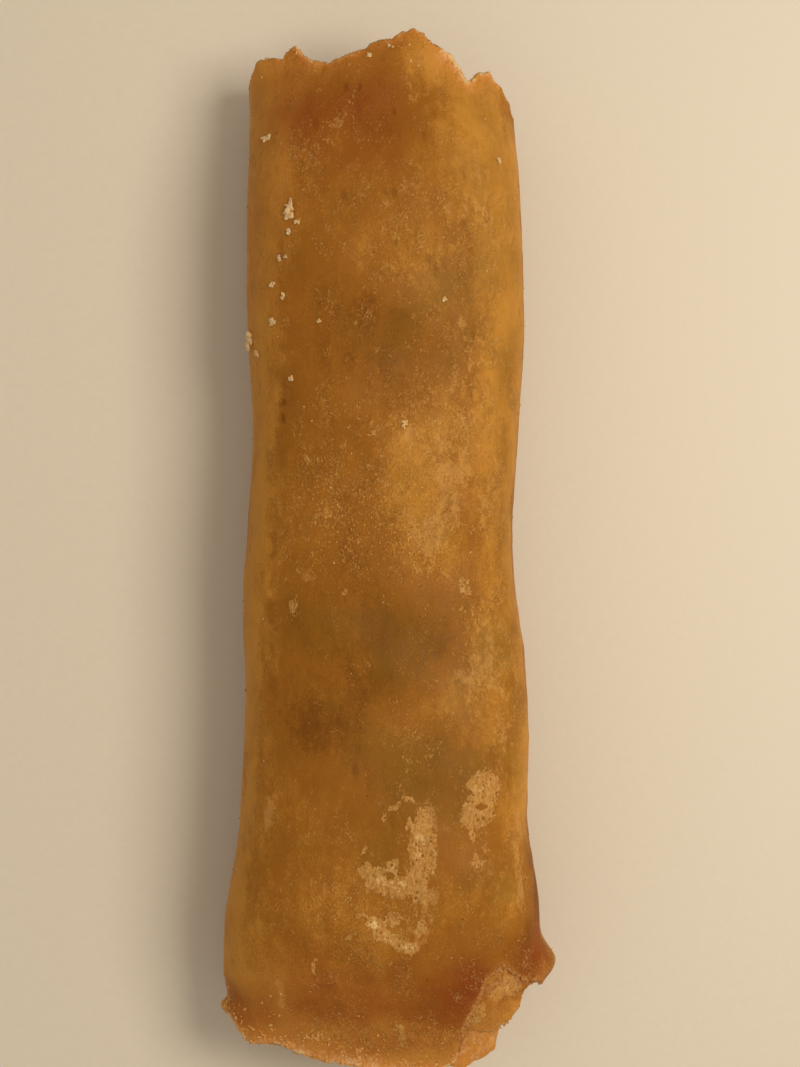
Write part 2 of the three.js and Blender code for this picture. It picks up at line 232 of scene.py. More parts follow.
# Soft patches over the skin: [x, y, half-width, half-length, change].
TONE_PATCHES = [
    [-2, 57.5, 7.5, 5, -0.32], [-14.5, 59, 5, 5, 0.46], [6, 64, 3.2, 4, 0.44], [14.5, 59, 3, 4, 0.5],
    [15.6, 59, 1.6, 3, 0.24], [10.8, 59.6, 1.8, 2.4, 0.16], [7.6, 58.4, 1.6, 2, -0.12],
    [12, 50, 5.5, 7, 0.24], [14.6, 36, 3.4, 14, 0.36], [4, 39, 6, 6, 0.14], [-2.5, 29, 7.5, 7, -0.42],
    [-15, 28, 3, 7, 0.16], [-13, 18.5, 2, 6.5, -0.2], [-9, 14, 5, 6, -0.1], [1.6, 14, 8, 4.5, 0.13],
    [4.5, 8, 4, 9, 0.24], [12.5, 12, 4.5, 10, 0.18], [6.5, -0.5, 3.5, 4, 0.18], [2, -10.5, 9.5, 6, -0.36],
    [-8.5, -22.8, 5.5, 4.6, -0.42], [-7, -11, 8, 6, -0.1], [13, -17.5, 4.5, 6.5, 0.28],
    [5.5, -29, 6, 4, -0.3], [1, -37.8, 1.6, 3.8, -0.15], [16.5, -38, 2.5, 9, 0.22], [2, -47, 7, 8, 0.16],
    [-15, -53, 5, 9, 0.12], [-17.8, -60.4, 2.2, 2.8, 0.5], [-11.2, -57.7, 3, 2.6, 0.14],
    [7, -57, 5, 4.5, -0.4], [17.4, -49.8, 2.2, 4.2, -0.56], [17.2, -54.8, 2.6, 2.6, -0.3],
    [-4, -65.4, 15, 2.4, 0.7], [-16.5, 10, 3, 50, 0.14], [-17.2, 38, 2.6, 24, 0.16],
    [15.8, 18, 2.2, 16, 0.3], [15.2, -6, 2.5, 7, 0.26], [14.8, 61, 1.8, 2.2, 0.25],
    [18.4, -30, 1.6, 6, 0.18], [-9.5, -65.5, 4, 2, 0.4], [0.5, -66, 4, 2, 0.48], [9.5, -65, 3, 2, 0.28],
    [8, -13, 3, 2.6, -0.2], [8, -19.5, 3, 2.6, 0.18], [1.6, -25.6, 3, 3, 0.28], [11.2, -58.2, 2, 2, -0.2],
    [-4.8, 0.5, 3, 3, -0.14], [8, 55, 3, 4, 0.18], [5, 35.5, 3.5, 4.5, 0.16], [-12, 42, 3, 5, 0.13],
    [2, 6.5, 4.5, 3, 0.2], [-10, 0, 3, 3, 0.1], [-6, -30, 4.5, 3.5, -0.14], [11.5, -25.6, 2.5, 3, 0.12],
    [-6.5, -45, 3, 3, 0.1], [14.6, -45, 2.2, 3, 0.36], [6.4, 32, 3.4, 3, 0.26], [4.8, 0.1, 2, 2.4, -0.1],
    [8, -19.4, 2.4, 2.4, 0.1], [14, -25.6, 4, 3, 0.14], [18.2, -46, 1.6, 3, -0.12],
    [14.8, 31.5, 1.8, 3, -0.14], [8.4, 0.1, 2.4, 3, 0.14], [11.2, -6.3, 2.6, 2.6, 0.1],
    [14.4, -12.7, 2.6, 2.8, 0.42], [18.4, -41.5, 1.7, 4.5, -0.6], [11.2, -51.5, 3, 3, -0.13],
    [4.4, -58.2, 3, 3, 0.3], [11.2, -57.2, 2, 2, -0.24], [-11.5, -60, 4, 3, 0.14],
    [-14.5, 19.4, 2.5, 4, 0.14], [-18.4, 53.8, 2, 5, 0.24], [-18.2, 42, 1.6, 10, 0.18],
    [-15, 51.5, 5, 5, 0.22], [1.6, 58, 2.6, 2.6, 0.12], [-18.2, -20, 1.6, 10, -0.18],
    [-14.5, -22, 2.2, 5, 0.14], [-11.2, -38.5, 3, 3, -0.1], [15.5, -41, 2, 3, -0.14],
    [-3, -57.5, 9, 2.6, 0.15], [-16.5, -15, 2, 40, 0.08], [15.4, 38, 2.6, 14, 0.16], [16, 23, 1.8, 5, 0.12],
    [17.2, -32, 2, 4, 0.22], [17.2, 56.5, 1.6, 3.4, -0.22], [17.8, -43.5, 2, 2.6, -0.2],
    [-17.6, -57.5, 2, 5, 0.22],
]
RED_PATCHES = [
    [-1, 58.5, 8.5, 8, 0.2], [-13, 58, 6, 8, 0.17], [-15.5, 42, 5, 14, 0.2], [10, 66, 5, 3, 0.06],
    [12, 40, 6, 25, -0.12], [-1, 27, 7, 7, -0.12], [3, -11, 8, 6, -0.16], [5, -28, 7, 5, -0.18],
    [-9, -21, 6, 5, 0.04], [7, -57.5, 7, 6, 0.16], [18, -51, 4, 6, 0.26], [-4, -62, 16, 4, 0.26],
    [-3, 51.5, 5, 3.5, 0.12], [-5, -58, 12, 3, 0.1], [17, 5, 2.6, 45, -0.12], [-11, 58, 7, 4, 0.08],
    [13, -43, 4, 5, -0.1], [0, -38.5, 4, 4, -0.14], [-10, -4, 4, 6, -0.06], [-11, -51.5, 6, 3, 0.08],
    [17.6, -54.6, 3, 3.6, 0.34], [-5, 58, 8, 4, 0.07], [2, -32, 16, 12, -0.05], [-4, -54.5, 9, 3, 0.06],
    [11.2, -57.5, 2, 2.6, 0.12], [9.5, -58, 2.6, 3, 0.2], [-2, -66.5, 12, 2.4, 0.22],
    [-17, -61, 5, 4, 0.24], [-8, -57.7, 3, 3, 0.1], [-17.8, 25, 2.6, 36, 0.07], [8, 35, 3.4, 5, -0.1],
    [8, 0, 2.6, 3, -0.08], [9.6, -19, 2.6, 3, -0.09], [-6, -22, 6, 3.4, -0.06], [14.5, -26, 2.4, 3, -0.08],
    [14.5, 59, 3, 4, -0.12], [-18.4, 0, 2, 40, 0.08], [-6, -51.5, 6, 3, 0.08], [-8, -13, 7, 8, -0.07],
    [14.5, -12.7, 3, 4, -0.12], [14.5, -45, 3, 3, -0.12],
]
# Where soft pale scuffs crowd.
SCUFF_START = -0.05
SCUFF_PATCHES = [
    [-9, 53, 5, 6, 0.25], [2, 43, 8, 7, 0.3], [12, 36, 4, 10, 0.3], [-6, 18, 5, 6, 0.15],
    [7, 14, 9, 10, 0.4], [-6, 5, 8, 6, 0.35], [11, -14, 6, 6, 0.3], [5, -24, 6, 5, 0.15],
    [4, -44, 9, 6, 0.2], [0, -58, 14, 5, 0.1], [-2, -65, 16, 2.5, 0.6], [-16, 0, 3, 40, -0.35],
    [-2, -12, 7, 5, -0.2], [-9, -21, 6, 5, -0.25], [15.4, 10, 2.2, 40, 0.26], [-15.6, 20, 2.6, 24, 0.24],
    [17.4, -55, 2.4, 3, 0.4], [-6.7, -46, 3, 1.8, 0.3], [-3.8, -52.7, 1.6, 1.2, 0.3],
]
# Thin pale films, streaked along the roll.
FILM_START = -0.12
FILM_PATCHES = [
    [-7.2, 54.7, 2.2, 1.8, 0.42], [-6.8, 58.3, 1.8, 1.4, 0.42], [3.7, 59.3, 1.5, 2, 0.6],
    [6.5, 61.5, 2, 3.5, 0.45], [12.6, 48.8, 1, 2.6, 0.65], [3, 47, 1.6, 1.2, 0.6],
    [9.8, 44.8, 2.4, 1.4, 0.6], [0.3, 44.4, 1, 1.2, 0.55], [4.5, 40, 2.4, 1.6, 0.45],
    [13.6, 40, 1.6, 4, 0.45], [-2, 31, 3, 1.6, 0.35], [9.8, 29.2, 0.7, 1.6, 0.7], [10.5, 24, 2, 3, 0.45],
    [-16, 20, 1.4, 1.8, 0.55], [15.4, 20, 1.4, 16, 0.35], [2.9, 14.7, 1.2, 2.6, 0.75],
    [7.7, 12.3, 1.2, 5.5, 0.85], [11, 16.3, 1.4, 2, 0.75], [10.8, 9.6, 2, 1.3, 0.95],
    [-11, 12, 1.4, 1, 0.65], [9.6, 5.7, 0.7, 1.8, 0.7], [13.3, 5, 1, 2, 0.5], [5.7, 1.6, 3.2, 4, 0.85],
    [-10, 5, 2, 1.6, 0.45], [-10.2, -3.2, 1.4, 1, 0.65], [10, -17.5, 2.4, 4.6, 0.75],
    [13.6, -13, 1.6, 5, 0.5], [15, -24, 1.6, 5, 0.5], [4, -20, 2, 2.6, 0.35], [-14.6, -34.4, 0.6, 2.8, 1],
    [16.8, -36, 1.3, 6, 0.75], [16.2, -45.5, 1.2, 3.2, 0.85], [13, -42, 1.4, 3, 0.4],
    [4.9, -34.3, 1.6, 3, 1], [4.2, -43.6, 1.7, 3.4, 0.95], [2.8, -50.4, 2.4, 2, 0.8],
    [-12, -57.9, 0.8, 2.2, 0.95],
]
# Where the skin glitters with the finest blisters: bumps, and glints painted into its colour.
SPARKLE_START = 0.15
SPARKLE_PATCHES = [
    [-4.6, 4, 4.4, 4.8, 0.8], [-9.5, 10, 4, 3.2, 0.45], [5.6, 1.2, 3.8, 5.4, 0.75], [9, 15, 5, 6, 0.35],
    [6, 38, 8, 7, 0.25], [-11, -6, 3, 4, 0.3], [3, -26, 6, 4, 0.15], [0, -46, 7, 5, 0.3],
    [-6.7, -46, 3, 1.8, 0.6], [-3.8, -52.7, 1.6, 1.2, 0.7], [0, -65, 17, 2.2, 0.7],
]
# Where small dark hollows lie in the skin.
PIT_START = 0.1
PIT_PATCHES = [
    [-3, 54, 11, 9, 0.9], [6, 38, 9, 9, 0.5], [-12, 30, 5, 10, 0.5], [8, 18, 8, 9, 0.5],
    [-10, -24, 8, 7, 0.6], [8, -25, 7, 7, 0.5], [2, -52, 10, 6, 0.4],
]
# How strongly the broken rims glow, as light painted into their colour.
RIM_START = 0.08
RIM_PATCHES = [
    [-6, -67, 17, 5, 1.15], [-18.4, -61.8, 2, 2.4, 0.7], [19.5, -58, 2.5, 1.6, 0.4], [9.3, 64, 2.6, 3, 1.5],
    [14.5, 62, 3, 4, 0.8], [-10, 65, 9, 4, 0.35], [3, 68.5, 3, 2, 0.3],
]
RIM_REACH = 2
EDGE_GLOW = {"strength": 0.7, "reach": 0.35}  # more painted glow at the very edge
SIDE_EXTRA = {"scuff": 0.1, "film": 0, "sparkle": 0.1}  # more of each field at the sides
UNDER_EXTRA = 0.2  # and of each underneath

# Dry, frosty patches of burst blisters: [x, y, half-width, half-length, tilt in degrees, strength].
FROST_PATCHES = [
    [12.5, -30.5, 2.6, 2.3, 0, 0.36], [11.7, -34, 2.6, 2.3, 0, 0.38], [12.2, -32.3, 2.5, 1.6, 0, 0.3],
    [10.9, -36.9, 0.6, 1, 0, 0.3], [11, -40, 1.3, 1.2, 0, 0.14], [4.6, -37.4, 1.9, 4.6, 4, 0.3],
    [3.5, -38.8, 1.1, 2.4, 8, 0.6], [3.6, -43, 1.5, 2.9, 5, 0.26], [0.8, -32.6, 1.3, 0.6, 35, 0.18],
    [2.5, -32, 1.1, 0.6, 0, 0.14], [-0.3, -34.2, 0.5, 0.7, 0, 0.4], [2.5, -35, 0.4, 1.1, -10, 0.3],
    [0.5, -40.1, 0.9, 0.8, 0, 0.9], [-2.7, -41, 0.9, 1.1, 0, 0.25], [-0.4, -42.4, 2.4, 2, 0, 0.55],
    [1.5, -43.2, 1.8, 1.8, 0, 0.6], [-1.3, -48.2, 1.2, 0.9, -20, 1], [-3.1, -46.9, 0.7, 0.4, -20, 0.4],
    [0.8, -47.6, 1.6, 1, 0, 0.12], [-0.1, -50, 1.7, 0.9, -10, 0.6], [2.3, -51.4, 1.8, 1, 0, 0.6],
    [3.9, -49, 0.8, 1.5, 0, 0.14], [-3.9, -49.8, 0.5, 0.5, 0, 0.3], [-2.6, -51.5, 0.8, 0.35, 15, 0.3],
    [-1.9, -43.9, 0.6, 0.25, 30, 0.6], [-2.8, -38.6, 0.35, 1, -15, 0.3], [-1.1, -37, 0.5, 0.35, 0, 0.3],
    [-7.9, -54, 0.4, 2, 0, 0.22], [-1.8, 15.2, 1.3, 0.6, 30, 0.14], [11.2, -4.8, 1.3, 1.4, 0, 0.08],
    [8.4, -3, 0.5, 1.6, 40, 0.12], [-11.8, -7.2, 1, 1, 0, 0.1], [-5.4, -5.4, 0.7, 0.7, 0, 0.06],
    [1.6, -64, 0.7, 1.7, 8, 0.24],
]
FROST_HOLES = [
    [0.3, -37.2, 2.2, 2.5, -10, 0.9], [1.7, -40.9, 0.5, 1, 0, 0.9], [0.3, -41.9, 0.6, 0.22, 0, 0.8],
    [12.1, -33.1, 0.9, 0.4, 10, 0.4], [11.8, -34.9, 0.35, 0.4, 0, 0.6], [11, -31.5, 0.5, 0.22, 0, 0.5],
    [2.4, -48.4, 0.8, 1.7, 5, 1.2],
]
# The same on the turn that shows where the outer one has torn off.
INNER_FROST_PATCHES = [
    [14.6, -57.6, 3, 1.9, 15, 0.4], [10.8, -61.4, 1.1, 2.2, -25, 0.4], [16.4, -60.8, 1, 0.6, 0, 0.3],
    [14.6, -63.1, 1.4, 0.6, 0, 0.3],
]

# Loose white crumbs that stick to the skin: [x, y, half-width, half-length, half-height, turn in degrees].
CRUMBS = [
    [-12.7, 44.8, 0.5, 0.95, 0.32, -20], [-12.8, 43.4, 0.62, 0.6, 0.36, 10],
    [-11.6, 42.9, 0.34, 0.2, 0.18, -35], [-12.8, 41.3, 0.22, 0.52, 0.22, 5],
    [-15.8, 54.5, 0.62, 0.42, 0.26, 15], [-14.1, 38.2, 0.2, 0.36, 0.2, 0],
    [-13.3, 38.1, 0.26, 0.14, 0.14, 40], [-14.9, 35, 0.42, 0.32, 0.24, 10],
    [-13.6, 32.9, 0.26, 0.5, 0.18, -10], [-14.9, 29.9, 0.62, 0.36, 0.18, -5],
    [-9, 29.8, 0.18, 0.42, 0.14, 30], [-12.6, 22.2, 0.3, 0.26, 0.24, 0], [-18.8, 27.8, 0.7, 1, 0.5, 20],
    [-17.2, 26.2, 0.34, 0.4, 0.24, 35], [-2.3, 65.2, 0.2, 0.34, 0.18, 30], [0.2, 66.8, 0.22, 0.18, 0.16, 0],
    [7.2, 32.5, 0.22, 0.24, 0.2, 0], [14.4, 51.2, 0.3, 0.34, 0.18, 20], [2.3, 16.4, 0.26, 0.52, 0.2, -35],
]
CRUMB_SEED = 21
CRUMB_SCALE = 1.25
CRUMB_UP = 0.35  # least slope upwards of the skin that crumbs lie on
CRUMB_LIFT = 0.25  # of a crumb's half height
CRUMB_CHIPS = {"count": 7, "low": 0.4, "high": 0.9, "shape": (1.4, 0.8, 0.6), "roughness": 0.12}
CHIP_SPREAD = {"low": 0.1, "high": 0.9, "flatness": 0.3}
CUTS = {"count": 9, "low": 0.4, "high": 1}  # planes that cut each chip, and how far out they lie
# Other bits: half sizes from low to high, times the shape, then roughness, and the first one's seed.
TINY_CRUMBS = {"count": 44, "low": 0.05, "high": 0.14, "shape": (1, 1.3, 0.7), "roughness": 0.4, "seed": 100}
RIM_GRAINS = {"count": 900, "low": 0.06, "high": 0.32, "shape": (1, 1.2, 0.8), "roughness": 0.3, "seed": 300}
# Where the rim grains lie: just behind the -Y lip, and a few at the +Y end. Each pair is where they begin and
# where they reach their full number.
GRAIN_PLACES = {"reach": 1.3, "up": (-0.2, 0.1), "x": (10, 5), "far_y": (62, 67)}
GRAIN_SHARES = {"far": 0.06, "least": 0.04}
# Crumbly grains on the turn inside, along each turn's torn edge between these places.
TORN_GRAINS = [
    {"count": 480, "from_x": 9.4, "to_x": 18.2, "reach": 2.8, "low": 0.1, "high": 0.32, "seed": 6000},
    {"count": 110, "from_x": 9.6, "to_x": 17.6, "reach": 0.9, "low": 0.06, "high": 0.2, "seed": 7000},
]
# Their shape, and how they lie: ahead of the edge, sunk in, and facing up.
TORN_SHAPE = {"shape": (1, 1.4, 0.7), "roughness": 0.6}
TORN_PLACES = {"ahead": 0.25, "steepness": 4, "inset": 0.06, "normal": (0.25, 0, 0.97)}
# Splinters along each turn's broken edge, most of them over the upper half, which breaks up its line.
SPLINTERS = {"low": 0.05, "high": 0.15, "shape": (1, 1.3, 0.8), "roughness": 0.5, "seed": 2000}
SPLINTER_COUNTS = (340, 180, 120)
SPLINTER_PLACES = {"upper": 0.75, "behind": 0.28, "ahead": 0.1}
# Small flakes on the sides, which roughen the outline.
SIDE_FLAKES = {"low": 0.05, "high": 0.2, "shape": (1, 1.5, 1), "roughness": 0.5, "seed": 7000, "swing": 0.3}
FLAKE_PLACES = {"count": 110, "spread": 0.035, "behind": 0.6}

# Colours as seen in sRGB, 0 to 255.
DARK_BROWN = (122, 70, 12)
MID_BROWN = (156, 97, 24)
PALE_GOLD = (198, 136, 50)
RED_BROWN = (138, 60, 12)
OLIVE = (130, 88, 16)
FROST_FILM = (184, 128, 60)
FROST = (206, 152, 80)
# A painted highlight on the frost's foam.
FROST_PAINTED_HIGHLIGHT = (244, 206, 142)
PIT = (128, 80, 24)
DARK_SPECK = (84, 46, 14)
# Painted glow where light passes through the thin rims, also the rim grains' darker tint, and a paler painted
# fringe.
RIM_GLOW = (214, 140, 62)
PAINTED_FRINGE_GLOW = (240, 204, 150)
FILM = (204, 148, 76)
# Painted glints.
PAINTED_GLINT = (238, 182, 98)
CRUMB_WHITE = (226, 202, 158)
GRAIN_GOLD = (224, 172, 104)
TORN_TAN = (202, 140, 76)
TORN_BROWN = (170, 106, 46)
SPLINTER_GOLD = (212, 150, 76)
SPLINTER_BROWN = (172, 108, 44)
FLOOR = (226, 211, 187)

# The skin's fine noises, as Graph.noise takes them, and its dark spots.
MOTTLE = {"size": 0.9, "detail": 3, "roughness": 0.6, "distortion": 0.4, "stretch": (1, 0.6, 1)}
CURLS = {"size": 1, "detail": 3, "roughness": 0.6, "distortion": 0.6, "stretch": (1.15, 0.8, 1.15)}
GRIT = {"size": 0.26, "roughness": 0.6, "distortion": 0.3, "stretch": (1.1, 0.8, 1.1)}
SPOTS = {"size": 0.5, "reach": 0.35, "stretch": (1.1, 0.8, 1.1)}
# How far light passes into the skin and into the crumbs, as the shader's sockets take it.
SKIN_DEPTH = {"Subsurface Weight": 0.25, "Subsurface Radius": (1, 0.42, 0.14), "Subsurface Scale": 0.0022}
CRUMB_DEPTH = {"Subsurface Weight": 0.2, "Subsurface Radius": (1, 0.6, 0.25), "Subsurface Scale": 0.0008}

# Light in metres and watts, and the camera, which looks straight down from above a point of the roll's own
# frame. The picture is 143.6 mm high at the widest level.
KEY_LIGHT = {"at": (0.2, 0.05, 0.33), "size": 0.18, "power": 0.86, "colour": (1, 0.95, 0.87)}
ROOM_LIGHT = {"colour": (1, 0.93, 0.83, 1), "strength": 0.45}
FLOOR_SIZE = 3
CAMERA_AT = (1.61, 2.22, 300)
FOCAL_LENGTH = 72.2
SENSOR_HEIGHT = 36


# ---- Helpers ----


def linear(colour):
    """An sRGB colour from 0 to 255 as the linear colour, with alpha, that a socket takes."""
    shares = np.array(colour) / 255
    values = np.where(shares <= 0.04045, shares / 12.92, ((shares + 0.055) / 1.055) ** 2.4)
    return (*(float(v) for v in values), 1.0)


def smoothstep(low, high, x):
    t = np.clip((x - low) / (high - low), 0, 1)
    return t * t * (3 - 2 * t)


def mix(a, b, share):
    return a + (b - a) * share


def curve_through(points, at):
    """A smooth line through [at, value] points: a cubic between neighbours, held flat past the ends."""
    xs, ys = np.array(sorted(points), float).T
    slopes = np.empty_like(ys)
    slopes[1:-1] = (ys[2:] - ys[:-2]) / (xs[2:] - xs[:-2])
    slopes[0] = (ys[1] - ys[0]) / (xs[1] - xs[0])
    slopes[-1] = (ys[-1] - ys[-2]) / (xs[-1] - xs[-2])
    at = np.clip(at, xs[0], xs[-1])
    i = np.clip(np.searchsorted(xs, at, side="right") - 1, 0, len(xs) - 2)
    width = xs[i + 1] - xs[i]
    t = (at - xs[i]) / width
    values = ys[i] * (1 + 2 * t) * (1 - t) ** 2 + ys[i + 1] * t * t * (3 - 2 * t)
    return values + width * (slopes[i] * t * (1 - t) ** 2 - slopes[i + 1] * t * t * (1 - t))


def lines_through(points, at):
    xs, ys = np.array(points, float).T
    return np.interp(at, xs, ys)


def ragged_at(x, teeth, seed):
    """The same ragged line of draws as the CAD part's."""
    place = x / teeth["length"]
    n = np.floor(place)

    def draw(k):
        big = np.sin(k * 12.9898 + seed * 78.233) * 43758.5453
        return 2 * (big - np.floor(big)) - 1

    return teeth["height"] * mix(draw(n), draw(n + 1), place - n)


# ---- Noise ----


def draws(places, seed):
    """A repeatable draw from 0 to 1 for each row of three whole numbers."""
    cells = places.astype(np.int64).astype(np.uint32)
    mixed = cells[..., 0] * np.uint32(73856093)
    mixed = mixed ^ (cells[..., 1] * np.uint32(19349663))
    mixed = mixed ^ (cells[..., 2] * np.uint32(83492791)) ^ np.uint32((seed * 2654435761) % 2**32)
    for shift, factor in ((15, 2246822519), (13, 3266489917), (16, 668265263)):
        mixed = (mixed ^ (mixed >> np.uint32(shift))) * np.uint32(factor)
    return (mixed ^ (mixed >> np.uint32(15))) / 2**32


def noise(points, size, seed):
    """Gradient noise of about -1 to 1, with features of about this size."""
    places = points / size
    corner_at = np.floor(places)
    part = places - corner_at
    fade = part * part * part * (part * (part * 6 - 15) + 10)
    total = np.zeros(points.shape[:-1])
    for corner in itertools.product((0, 1), repeat=3):
        offset = np.array(corner)
        slope = np.stack([draws(corner_at + offset, seed + 101 * axis) for axis in range(3)], -1) * 2 - 1
        weight = np.prod(np.where(offset == 1, fade, 1 - fade), axis=-1)
        total += weight * np.sum(slope * (part - offset), axis=-1)
    return 1.6 * total


def fractal(points, size, seed, octaves=3, keep=0.5):
    levels = [keep**k * noise(points + 17.3 * k, size / 2**k, seed + k) for k in range(octaves)]
    return sum(levels)


def varied(points, use):
    """The noise over the skin that the table gives for this use."""
    strength, *settings = NOISES[use]
    return strength * fractal(points, *settings)


def cell_noise(points, size, seed):
    """Distance to the nearest of randomly placed points, in sizes, and that point's own draw."""
    places = points / size
    cell_at = np.floor(places)
    nearest = np.full(points.shape[:-1], 9.0)
    own = np.zeros(points.shape[:-1])
    for offset in itertools.product((-1, 0, 1), repeat=3):
        cell = cell_at + np.array(offset)
        centre = cell + np.stack([draws(cell, seed + 11 * axis) for axis in range(3)], -1)
        distance = np.linalg.norm(places - centre, axis=-1)
        closer = distance < nearest
        nearest = np.where(closer, distance, nearest)
        own = np.where(closer, draws(cell, seed + 77), own)
    return nearest, own


def line_noise(at, size, seed):
    """Noise along a line, as a slice through the noise in space."""
    at = np.asarray(at, float)
    return noise(np.stack([at, np.full_like(at, 3.7 * seed), np.full_like(at, 9.1)], -1), size, seed)


def line_waves(at, waves, seed=0):
    """The sum of waves along a line, given as (strength, size, seed)."""
    return sum(strength * line_noise(at, size, own + seed) for strength, size, own in waves)


# ---- The roll's form ----


def even_superellipse():
    """Shares of the way round a usual section, and the unit superellipse's x and y there."""
    angle = np.linspace(0, TURN, SECTION_STEPS + 1)
    xs = np.sign(np.cos(angle)) * np.abs(np.cos(angle)) ** (2 / SQUARENESS)
    ys = np.sign(np.sin(angle)) * np.abs(np.sin(angle)) ** (2 / SQUARENESS)
    aspect = USUAL_HALF_HEIGHT / USUAL_HALF_WIDTH
    lengths = np.concatenate([[0], np.cumsum(np.hypot(np.diff(xs), np.diff(ys) * aspect))])
    return lengths / lengths[-1], xs, ys, lengths[-1] * USUAL_HALF_WIDTH


SECTION_SHARE, SECTION_X, SECTION_Y, PERIMETER = even_superellipse()


def shape_at(share):
    share = np.mod(share, 1)
    return np.interp(share, SECTION_SHARE, SECTION_X), np.interp(share, SECTION_SHARE, SECTION_Y)


def across_at(share):
    """Distance along the skin from the top line, + towards +X, at a share of the way round."""
    share = np.mod(share, 1)
    return PERIMETER * np.where(share > 0.75, 1.25 - share, 0.25 - share)


def across_of_x(x):
    """The same distance for a place seen from above on a usual section."""
    upper = SECTION_SHARE <= 0.5
    order = np.argsort(SECTION_X[upper])
    return np.interp(x / USUAL_HALF_WIDTH, SECTION_X[upper][order], across_at(SECTION_SHARE[upper])[order])


def seam_drop_at(share, y):
    past = np.mod(share, 1) - SEAM_AT - line_waves(y, SEAM_WANDER)
    drop = SEAM_STEP * np.clip(past / SEAM_CLOSE, 0, 1) * (1 - past / SEAM_FADE)
    return np.where((past < 0) | (past > SEAM_FADE), 0, drop)


def skin_points(share, y, inset):
    """Points of the roll's skin at shares of the way round and places along Y, this far in."""
    shape_x, shape_y = shape_at(share)
    top = curve_through(TOP_HEIGHT, y)
    bottom = np.maximum(0, curve_through(UNDERSIDE_HEIGHT, y))
    widest = mix(bottom, top, WIDEST_LEVEL)
    lump = np.zeros_like(y)
    for wave in LUMPS:
        along = np.sin(TURN * y / wave["length"] + wave["along_phase"])
        lump += wave["height"] * along * np.sin(TURN * wave["rounds"] * share + wave["round_phase"])
    outward = lump * shape_y**2 - seam_drop_at(share, y) - inset
    side = np.where(shape_x > 0, curve_through(RIGHT_SIDE, y), curve_through(LEFT_SIDE, y))
    half_height = np.where(shape_y > 0, top - widest, widest - bottom + SETTLE)
    z = widest + (half_height + outward) * shape_y
    x = (side + outward) * shape_x
    for flare in FLARES:
        along = (y - flare["y"]) / flare["half_length"]
        up = (z - flare["level"]) / flare["half_height"]
        fade = np.where(flare["side"] * shape_x > 0, np.abs(shape_x) ** FLARE_SHARPNESS, 0)
        x = x + flare["side"] * flare["reach"] * fade * np.exp(-along * along - up * up)
    return np.stack([x, y, np.maximum(z, bottom)], -1)


def lip_run(turn, share, sign, teeth=1):
    """Where a turn's edge lies along Y at the end with this sign, as in the CAD part."""
    lists = FAR_LIPS if sign > 0 else NEAR_LIPS
    run = lists[min(turn, len(lists) - 1)]
    extra = max(0, turn - (len(lists) - 1)) * TURN_STEP
    shape_x, shape_y = shape_at(share)
    half_width = np.where(shape_x > 0, run[-1][0], -run[0][0])
    x = shape_x * half_width
    seed = 3 * turn + sign
    upper = lines_through(run, x) - sign * extra + teeth * ragged_at(x, UPPER_TEETH, seed)
    lower_run = lines_through(FAR_LOWER_LIP if sign > 0 else NEAR_LOWER_LIP, x)
    lower = lower_run - sign * turn * TURN_STEP + teeth * ragged_at(x, LOWER_TEETH, seed)
    blend = smoothstep(0, SIDE_BLEND, (1 - np.abs(shape_x)) * half_width)
    return np.where(shape_y >= 0, upper, mix(upper, lower, blend))


def fine_teeth(turn, share, sign):
    """The finest teeth of a turn's edge, which the CAD part leaves out."""
    return line_waves(PERIMETER * share, FINE_TEETH, 10 * turn + 3 * sign)


def curl_at(share, y, sign):
    """How far the lips at one end wave outwards, most at their edge."""
    behind = sign * (lip_run(0, share, sign, 0) - y)
    wave = line_noise(PERIMETER * share, CURL["length"], CURL["seed"] + sign)
    return CURL["height"] * wave * (1 - smoothstep(0, CURL["depth"], behind))


# ---- Grids and meshes ----


def grid_normals(grid):
    """Outward unit normals of a grid of points: rows along, columns round, closed on themselves."""
    along = np.gradient(grid, axis=0)
    around = np.roll(grid, -1, axis=1) - np.roll(grid, 1, axis=1)
    normal = np.cross(along, around)
    return normal / np.maximum(np.linalg.norm(normal, axis=2, keepdims=True), 1e-9)


def closed_faces(row_count, column_count):
    """Faces of a grid closed round its columns, with a fan to one point before it and one after it."""
    rows = np.arange(row_count - 1)[:, None]
    columns = np.arange(column_count)[None, :]
    after = (columns + 1) % column_count

    def at(row, column):
        return 1 + row * column_count + column

    quads = np.stack([at(rows, columns), at(rows + 1, columns), at(rows + 1, after), at(rows, after)], -1)
    ring = np.arange(column_count)
    following = (ring + 1) % column_count
    last = row_count - 1
    end = 1 + row_count * column_count
    first_fan = np.stack([np.zeros_like(ring), at(0, ring), at(0, following)], -1)
    last_fan = np.stack([np.full_like(ring, end), at(last, following), at(last, ring)], -1)
    return [*quads.reshape(-1, 4).tolist(), *first_fan.tolist(), *last_fan.tolist()]


def add_piece(name, points, faces, fields, material, smooth=True):
    """A mesh piece on the roll's body from points in the roll's own frame, with a field per point."""
    mesh = bpy.data.meshes.new(name)
    shifted = (points + np.array([*FRAME_SHIFT, 0])) * MM
    mesh.from_pydata(shifted.tolist(), [], faces)
    for field, values in fields.items():
        attribute = mesh.attributes.new(field, "FLOAT", "POINT")
        attribute.data.foreach_set("value", np.asarray(values, np.float32))
    if smooth:
        mesh.shade_smooth()
    mesh.materials.append(material)
    piece = bpy.data.objects.new(name, mesh)
    bpy.context.scene.collection.objects.link(piece)
    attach(piece, "root")
    return piece


def row_grids(rows, share):
    """Y, inset and share at each point of a grid, from its rows as (y, inset) pairs."""
    y = np.array([row[0] for row in rows])
    inset = np.array([row[1] + np.zeros_like(share) for row in rows])
    return y, inset, np.repeat(share[None, :], len(rows), axis=0)


